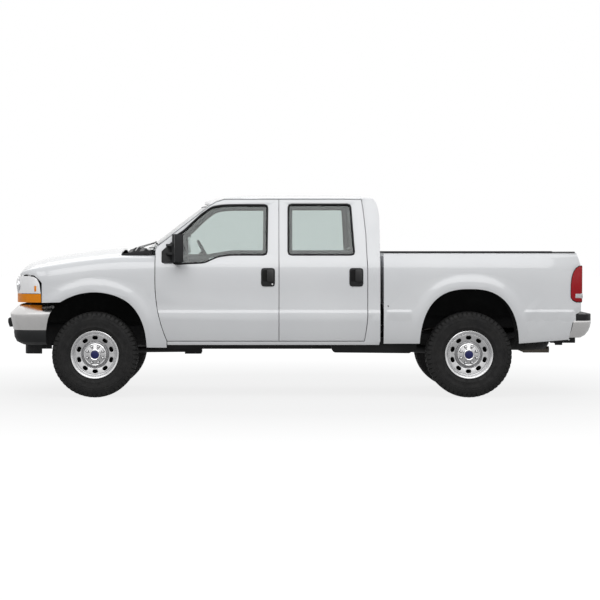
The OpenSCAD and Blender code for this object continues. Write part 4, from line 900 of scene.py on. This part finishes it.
def headlampTrim():
    hits = [sideSpot("headlamps", x, headlamp["dividerZ"]) for x in headlamp["dividerX"]]
    line = [(spot.x, spot.y + 0.001, spot.z) for spot in hits if spot]
    divider = dress(tubeAlong("divider", line, headlamp["divider"]), satinBlack)
    (x0, x1), (z0, z1) = headlamp["markerX"], headlamp["markerZ"]
    side = sideSpot("headlamps", -2.79, 1.155).y
    marker = dress(block("marker", (x0, side - 0.0015, z0), (x1, side + 0.02, z1), 0.004), amberLens)
    light = [dress(rod("bowl", (0.003, 0, 0), headlamp["bowlRadius"], 0.014, "x", 48, 0.004), reflector),
             dress(ring("rimRing", (0, 0, 0), headlamp["ringRadius"], 0.005, "x", 48, 8), chrome),
             dress(rod("bulb", (-0.004, 0, 0), headlamp["bulbRadius"], 0.014, "x", 32, 0.005),
                   mirrorGlass)]
    front = skinAt("headlamps", (-4, headlamp["lightY"], headlamp["lightZ"]), (1, 0, 0))
    turn = Matrix.Rotation(math.radians(headlamp["lightTurn"]), 4, "Z")
    for piece in light:
        piece.data.transform(Matrix.Translation(front) @ turn)
    return joinAll("headlamp_left_trim", [divider, marker] + light)


splitHeadlamps()
bothSides(headlampTrim(), "headlamps")

# Tail lamps: a rubber gasket round the front edge and a white reversing light
tailLamp = {"gasketY": -0.9885, "gasket": 0.0045,
            "line": [(2.984, 1.3965), (2.951, 1.3945), (2.921, 1.3735), (2.893, 1.3275),
                     (2.877, 1.2715), (2.869, 1.2), (2.867, 1.1), (2.869, 1.061), (2.887, 1.0335),
                     (2.925, 1.0145), (2.984, 1.0145)],
            "reverse": ((2.908, -0.9985, 1.05), (2.9925, -0.86, 1.108))}


def tailTrim():
    line = [(x, tailLamp["gasketY"], z) for x, z in tailLamp["line"]]
    gasket = dress(tubeAlong("gasket", line, tailLamp["gasket"]), sealRubber)
    reverse = dress(block("reverse", *tailLamp["reverse"], 0.012, 4), whiteLens)
    return joinAll("tail_lamp_left_trim", [gasket, reverse])


refine("tail_lamps", redLens, 0.004)
bothSides(tailTrim(), "tail_lamps")
print("lamps made")

# Grille: a dark backing with upright bars on both sides of the middle
grille = {"front": -2.999, "bars": -2.985, "rear": -2.978, "half": 0.53, "low": 1.03, "high": 1.30,
          "barLow": 1.045, "barHigh": 1.295, "barHalf": 0.0025, "pitch": 0.0355, "each": 14}


def makeGrille():
    backing = block("backing", (grille["bars"], -grille["half"], grille["low"]),
                    (grille["rear"], grille["half"], grille["high"]), 0.002)
    bars = [dress(backing, linerBlack)]
    for k in range(-grille["each"], grille["each"] + 1):
        if k:
            y = k * grille["pitch"]
            bar = block("bar", (grille["front"], y - grille["barHalf"], grille["barLow"]),
                        (grille["bars"], y + grille["barHalf"], grille["barHigh"]), 0.0008, 1)
            bars.append(dress(bar, satinBlack))
    return joinAll("grille_mesh", bars)


rideWith(makeGrille(), "grille")

# Cowl screen, crowned like the hood
cowl = {"half": 0.74, "drop": 0.055, "each": 22, "pitch": 0.03, "ventHalf": 0.003,
        "outline": [(-1.845, 1.55), (-1.836, 1.572), (-1.79, 1.585), (-1.7, 1.59), (-1.672, 1.58),
                    (-1.672, 1.55)]}


def makeCowl():
    outline = [(x, -cowl["half"], z) for x, z in cowl["outline"]]
    screen = plate("screen", outline, (0, 2 * cowl["half"], 0))
    pickOnly(screen)
    bpy.ops.object.mode_set(mode="EDIT")
    bpy.ops.mesh.select_all(action="SELECT")
    bpy.ops.mesh.subdivide(number_cuts=9)
    bpy.ops.object.mode_set(mode="OBJECT")
    ys = [cowl["pitch"] * k for k in range(-cowl["each"], cowl["each"] + 1) if k]
    vents = [block("vent", (-1.785, y - cowl["ventHalf"], 1.58), (-1.71, y + cowl["ventHalf"], 1.5925),
                   0.001, 1) for y in ys]
    piece = dress(joinAll("cowl_screen", [screen] + vents), trimBlack)
    for v in piece.data.vertices:
        v.co.z -= cowl["drop"] * (v.co.y / cowl["half"]) ** 2
    return smoothen(piece, 40)


rideWith(makeCowl(), "windshield")

# Wipers: each blade lies along the glass and its arm comes up from the cowl
wiper = {"starts": (-0.70, 0.02), "step": 0.085, "points": 7, "low": 1.632, "rise": 0.004,
         "bladeOff": 0.014, "bladeRadius": 0.006, "armOff": 0.025, "armRadius": 0.0065}


def offScreen(y, z, off):
    return (screenSpot(y, z).x - off, y, z)


def makeWipers():
    made = []
    for y in wiper["starts"]:
        line = [offScreen(y + 0.01 + wiper["step"] * k, wiper["low"] + wiper["rise"] * k,
                          wiper["bladeOff"]) for k in range(wiper["points"])]
        made.append(dress(tubeAlong("blade", line, wiper["bladeRadius"]), sealRubber))
        arm = [(-1.75, y - 0.02, 1.555), (-1.72, y + 0.02, 1.595),
               offScreen(y + 0.27, 1.648, wiper["armOff"])]
        made.append(dress(tubeAlong("arm", arm, wiper["armRadius"]), satinMetal))
    return joinAll("wipers", made)


rideWith(makeWipers(), "windshield")

# Tailgate handle, steering wheel, and the inner fenders that close the arches off from the engine
gateHandle = block("tailgate_handle", (2.952, -0.105, 1.342), (2.9725, 0.105, 1.408), 0.008, 3)
rideWith(dress(gateHandle, trimBlack), "tailgate")
refine("steering_wheel", cabinDark, panelEdges["metal"])
innerFender = block("inner_fender_left", (-2.89, -0.505, 0.78), (-1.7, -0.5, 1.28), 0.002)
bothSides(dress(innerFender, linerBlack), "front_fenders")
print("front and rear details made")

# Seats: padded parts blown up as cloth, hard parts modelled plainly
seatData = {"front": -0.8855, "rear": -0.0175, "frontY": 0.4, "rearHeadY": 0.33, "voxel": 0.012,
            "pressure": 4.0, "frames": 20, "cap": 0.024, "inset": 0.02, "round": 0.03, "fill": 0.6,
            "channelDepth": 0.009, "channelWidth": 0.011, "posts": 0.006, "postGap": 0.05,
            "frontSpan": (-0.66, -0.14), "headSpan": (-0.52, -0.28), "rearSpan": (-0.64, 0.64),
            "frontChannels": (-0.53, -0.27), "rearChannels": (-0.52, -0.22, 0.22, 0.52)}
cushionOutline = [(-0.04, 0.955), (-0.05, 1.1), (0.06, 1.12), (0.47, 1.07), (0.48, 0.935)]
backOutline = [(0.42, 1.073), (0.56, 1.055), (0.69, 1.62), (0.59, 1.64), (0.54, 1.56)]
headOutline = [(0.6, 1.638), (0.694, 1.62), (0.706, 1.78), (0.628, 1.79)]


def insetOutline(points, by):
    # moves every side of a closed outline inwards
    area = sum(a[0] * b[1] - b[0] * a[1] for a, b in zip(points, points[1:] + points[:1]))
    turn = 1 if area > 0 else -1
    made = []
    for i, p in enumerate(points):
        a, b = Vector(points[i - 1]), Vector(points[(i + 1) % len(points)])
        one, two = (Vector(p) - a).normalized(), (b - Vector(p)).normalized()
        n1, n2 = Vector((-one.y, one.x)) * turn, Vector((-two.y, two.x)) * turn
        made.append(Vector(p) + (n1 + n2) * by / max(0.35, 1 + n1.dot(n2)))
    return made


def startPad(name, outline, x, span):
    y0, y1 = span
    small = insetOutline(outline, seatData["inset"])
    low = y0 + seatData["inset"]
    points = [(x + p.x, low, p.y) for p in small]
    pad = plate(name, points, (0, y1 - y0 - 2 * seatData["inset"], 0), seatData["round"], 3)
    mod = pad.modifiers.new("remesh", "REMESH")
    mod.mode = "VOXEL"
    mod.voxel_size = seatData["voxel"]
    mod.use_smooth_shade = True
    bpy.ops.object.modifier_apply(modifier=mod.name)
    return pad


def blowUp(pads):
    # every pad is simulated at once, then no point is left further than the cap from its start
    starts = {}
    for pad in pads:
        starts[pad.name] = [v.co.copy() for v in pad.data.vertices]
        mod = pad.modifiers.new("cloth", "CLOTH")
        mod.settings.use_pressure = True
        mod.settings.uniform_pressure_force = seatData["pressure"]
        mod.settings.effector_weights.gravity = 0
        mod.point_cache.frame_end = seatData["frames"]
    for step in range(1, seatData["frames"] + 1):
        scene.frame_set(step)
    for pad in pads:
        pickOnly(pad)
        bpy.ops.object.modifier_apply(modifier="cloth")
        for v, start in zip(pad.data.vertices, starts[pad.name]):
            move = v.co - start
            if move.length > seatData["cap"]:
                v.co = start + move * (seatData["cap"] / move.length)
    scene.frame_set(1)


def sewChannels(pad, lines):
    # sewn channels run fore and aft at the given places across the seat
    for v in pad.data.vertices:
        press = sum(math.exp(-((v.co.y - line) / seatData["channelWidth"]) ** 2) for line in lines)
        v.co -= v.normal * press * seatData["channelDepth"]


def finishPad(pad):
    pickOnly(pad)
    mod = pad.modifiers.new("subdivision", "SUBSURF")
    mod.levels = 1
    bpy.ops.object.modifier_apply(modifier=mod.name)
    rideWith(dress(smoothen(pad, 70), cloth), "front_seats")


def makeSeats():
    front, rear = seatData["front"], seatData["rear"]
    pads = {}
    for name, outline, x, span in (
            ("front_cushion_left", cushionOutline, front, seatData["frontSpan"]),
            ("front_back_left", backOutline, front, seatData["frontSpan"]),
            ("front_headrest_left", headOutline, front, seatData["headSpan"]),
            ("rear_cushion", cushionOutline, rear, seatData["rearSpan"]),
            ("rear_back", backOutline, rear, seatData["rearSpan"])):
        pads[name] = startPad(name, outline, x, span)
    blowUp(list(pads.values()))
    for name in ("front_cushion_left", "front_back_left"):
        sewChannels(pads[name], seatData["frontChannels"])
    for name in ("rear_cushion", "rear_back"):
        sewChannels(pads[name], seatData["rearChannels"])
    for name in ("front_cushion_left", "front_back_left", "front_headrest_left"):
        other = name.replace("left", "right")
        pads[other] = copyOf(pads[name], other, flipSide)
    for name, y in (("rear_headrest_left", -seatData["rearHeadY"]),
                    ("rear_headrest_right", seatData["rearHeadY"])):
        shift = Matrix.Translation((rear - front, y + seatData["frontY"], 0))
        pads[name] = copyOf(pads["front_headrest_left"], name, shift)
    for pad in pads.values():
        finishPad(pad)
    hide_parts("front_seats")
    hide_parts("rear_seat")


def makeSeatFrames():
    # bases, recline covers and headrest posts
    front, rear = seatData["front"], seatData["rear"]
    made = []
    for y in (-seatData["frontY"], seatData["frontY"]):
        made.append(block("base", (front + 0.04, y - 0.24, 0.785), (front + 0.46, y + 0.24, 0.95), 0.02, 3))
        for inner, outer in ((-0.268, -0.256), (0.256, 0.268)):
            made.append(block("cover", (front + 0.4, y + inner, 0.98), (front + 0.52, y + outer, 1.12),
                              0.005, 3))
    made.append(block("base", (rear + 0.04, -0.6, 0.785), (rear + 0.46, 0.6, 0.95), 0.02, 3))
    for piece in made:
        dress(piece, cabinDark)
    for x, middle in ((front, seatData["frontY"]), (rear, seatData["rearHeadY"])):
        for y in (-middle, middle):
            for postY in (y - seatData["postGap"], y + seatData["postGap"]):
                line = [(x + 0.63, postY, 1.585), (x + 0.655, postY, 1.69)]
                made.append(dress(tubeAlong("post", line, seatData["posts"]), chrome))
    return joinAll("seat_frames", made)


makeSeats()
rideWith(makeSeatFrames(), "front_seats")
print("seats made")

# Stage, light and camera
studio = {"floor": 0.07, "glowNear": (3.0, 0.84), "glowFar": (8.0, 1.0), "glowShare": 0.5,
          "skyColour": (0.95, 0.975, 1.0, 1), "horizon": 0.05, "zenith": 0.6,
          "lamps": {"key": ((0, -9, 10.5), (0, 0, 1), (16, 9), 930),
                    "back": ((0, 9, 10.5), (0, 0, 1), (16, 9), 520)}}


def anyRay(tree, kinds):
    # one for a ray of any of these kinds, else nothing
    path = tree.nodes.new("ShaderNodeLightPath")
    total = path.outputs[kinds[0]]
    for kind in kinds[1:]:
        step = tree.nodes.new("ShaderNodeMath")
        step.operation = "ADD"
        step.use_clamp = True
        tree.links.new(total, step.inputs[0])
        tree.links.new(path.outputs[kind], step.inputs[1])
        total = step.outputs[0]
    return total


def makeStage():
    bpy.ops.object.select_all(action="DESELECT")
    bpy.ops.mesh.primitive_plane_add(size=160, location=(0, 0, 0))
    floor = settle(bpy.context.object, "floor")
    material = bpy.data.materials.new("paleFloor")
    material.use_nodes = True
    tree = material.node_tree
    tree.nodes.clear()
    out = tree.nodes.new("ShaderNodeOutputMaterial")
    diffuse = tree.nodes.new("ShaderNodeBsdfDiffuse")
    diffuse.inputs["Color"].default_value = (studio["floor"], studio["floor"], studio["floor"], 1)
    # the floor shines faintly round the truck and turns white further out, so the shadow stays soft
    place = tree.nodes.new("ShaderNodeTexCoord")
    far = tree.nodes.new("ShaderNodeVectorMath")
    far.operation = "LENGTH"
    lift = tree.nodes.new("ShaderNodeMapRange")
    (near, dim), (distant, full) = studio["glowNear"], studio["glowFar"]
    for socket, value in (("From Min", near), ("From Max", distant), ("To Min", dim), ("To Max", full)):
        lift.inputs[socket].default_value = value
    glow = tree.nodes.new("ShaderNodeEmission")
    tree.links.new(place.outputs["Object"], far.inputs[0])
    tree.links.new(far.outputs["Value"], lift.inputs["Value"])
    tree.links.new(lift.outputs["Result"], glow.inputs["Strength"])
    added = tree.nodes.new("ShaderNodeAddShader")
    # the camera sees the whole glow, the truck only its share
    seen = tree.nodes.new("ShaderNodeMath")
    seen.operation = "ADD"
    seen.use_clamp = True
    seen.inputs[1].default_value = studio["glowShare"]
    tree.links.new(anyRay(tree, ("Is Camera Ray", "Is Transmission Ray")), seen.inputs[0])
    seenGlow = tree.nodes.new("ShaderNodeMixShader")
    tree.links.new(seen.outputs[0], seenGlow.inputs["Fac"])
    tree.links.new(glow.outputs[0], seenGlow.inputs[2])
    tree.links.new(diffuse.outputs[0], added.inputs[0])
    tree.links.new(seenGlow.outputs[0], added.inputs[1])
    tree.links.new(added.outputs[0], out.inputs["Surface"])
    floor.data.materials.append(material)


def makeSky():
    world = scene.world or bpy.data.worlds.new("studio")
    scene.world = world
    world.use_nodes = True
    tree = world.node_tree
    tree.nodes.clear()
    out = tree.nodes.new("ShaderNodeOutputWorld")
    # the sky that lights the truck is brighter overhead than at the horizon
    sky = tree.nodes.new("ShaderNodeBackground")
    sky.inputs["Color"].default_value = studio["skyColour"]
    place = tree.nodes.new("ShaderNodeTexCoord")
    split = tree.nodes.new("ShaderNodeSeparateXYZ")
    lift = tree.nodes.new("ShaderNodeMapRange")
    lift.inputs["To Min"].default_value = studio["horizon"]
    lift.inputs["To Max"].default_value = studio["zenith"]
    tree.links.new(place.outputs["Generated"], split.inputs["Vector"])
    tree.links.new(split.outputs["Z"], lift.inputs["Value"])
    tree.links.new(lift.outputs["Result"], sky.inputs["Strength"])
    # what the camera, the mirrors and the glass see behind the truck is plain white
    white = tree.nodes.new("ShaderNodeBackground")
    white.inputs["Color"].default_value = (1, 1, 1, 1)
    white.inputs["Strength"].default_value = 1.0
    mix = tree.nodes.new("ShaderNodeMixShader")
    seen = anyRay(tree, ("Is Camera Ray", "Is Glossy Ray", "Is Transmission Ray"))
    tree.links.new(seen, mix.inputs["Fac"])
    tree.links.new(sky.outputs[0], mix.inputs[1])
    tree.links.new(white.outputs[0], mix.inputs[2])
    tree.links.new(mix.outputs[0], out.inputs["Surface"])


def addLamp(name, place, aim, size, power):
    data = bpy.data.lights.new(name, "AREA")
    data.shape = "RECTANGLE"
    data.size, data.size_y = size
    data.energy = power
    lamp = bpy.data.objects.new(name, data)
    scene.collection.objects.link(lamp)
    lamp.location = place
    lamp.rotation_euler = (Vector(aim) - Vector(place)).to_track_quat("-Z", "Y").to_euler()


makeStage()
makeSky()
for lampName, (place, aim, size, power) in studio["lamps"].items():
    addLamp(lampName, place, aim, size, power)

# The camera stands level with the windows, looks slightly down and shifts the picture sideways
shot = {"x": -0.397, "distance": 22.0, "side": 1.015, "height": 1.617, "drop": 0.58014, "lens": 125.1,
        "shiftX": 0.0633, "sensor": 36}
cameraData = bpy.data.cameras.new("camera")
camera = bpy.data.objects.new("camera", cameraData)
scene.collection.objects.link(camera)
cameraData.lens = shot["lens"]
cameraData.sensor_width = shot["sensor"]
cameraData.shift_x = shot["shiftX"]
camera.location = (shot["x"], -shot["side"] - shot["distance"], shot["height"])
camera.rotation_euler = (math.pi / 2 - math.atan(shot["drop"] / shot["distance"]), 0, 0)
scene.camera = camera
scene.view_settings.view_transform = "Standard"
print("stage made")
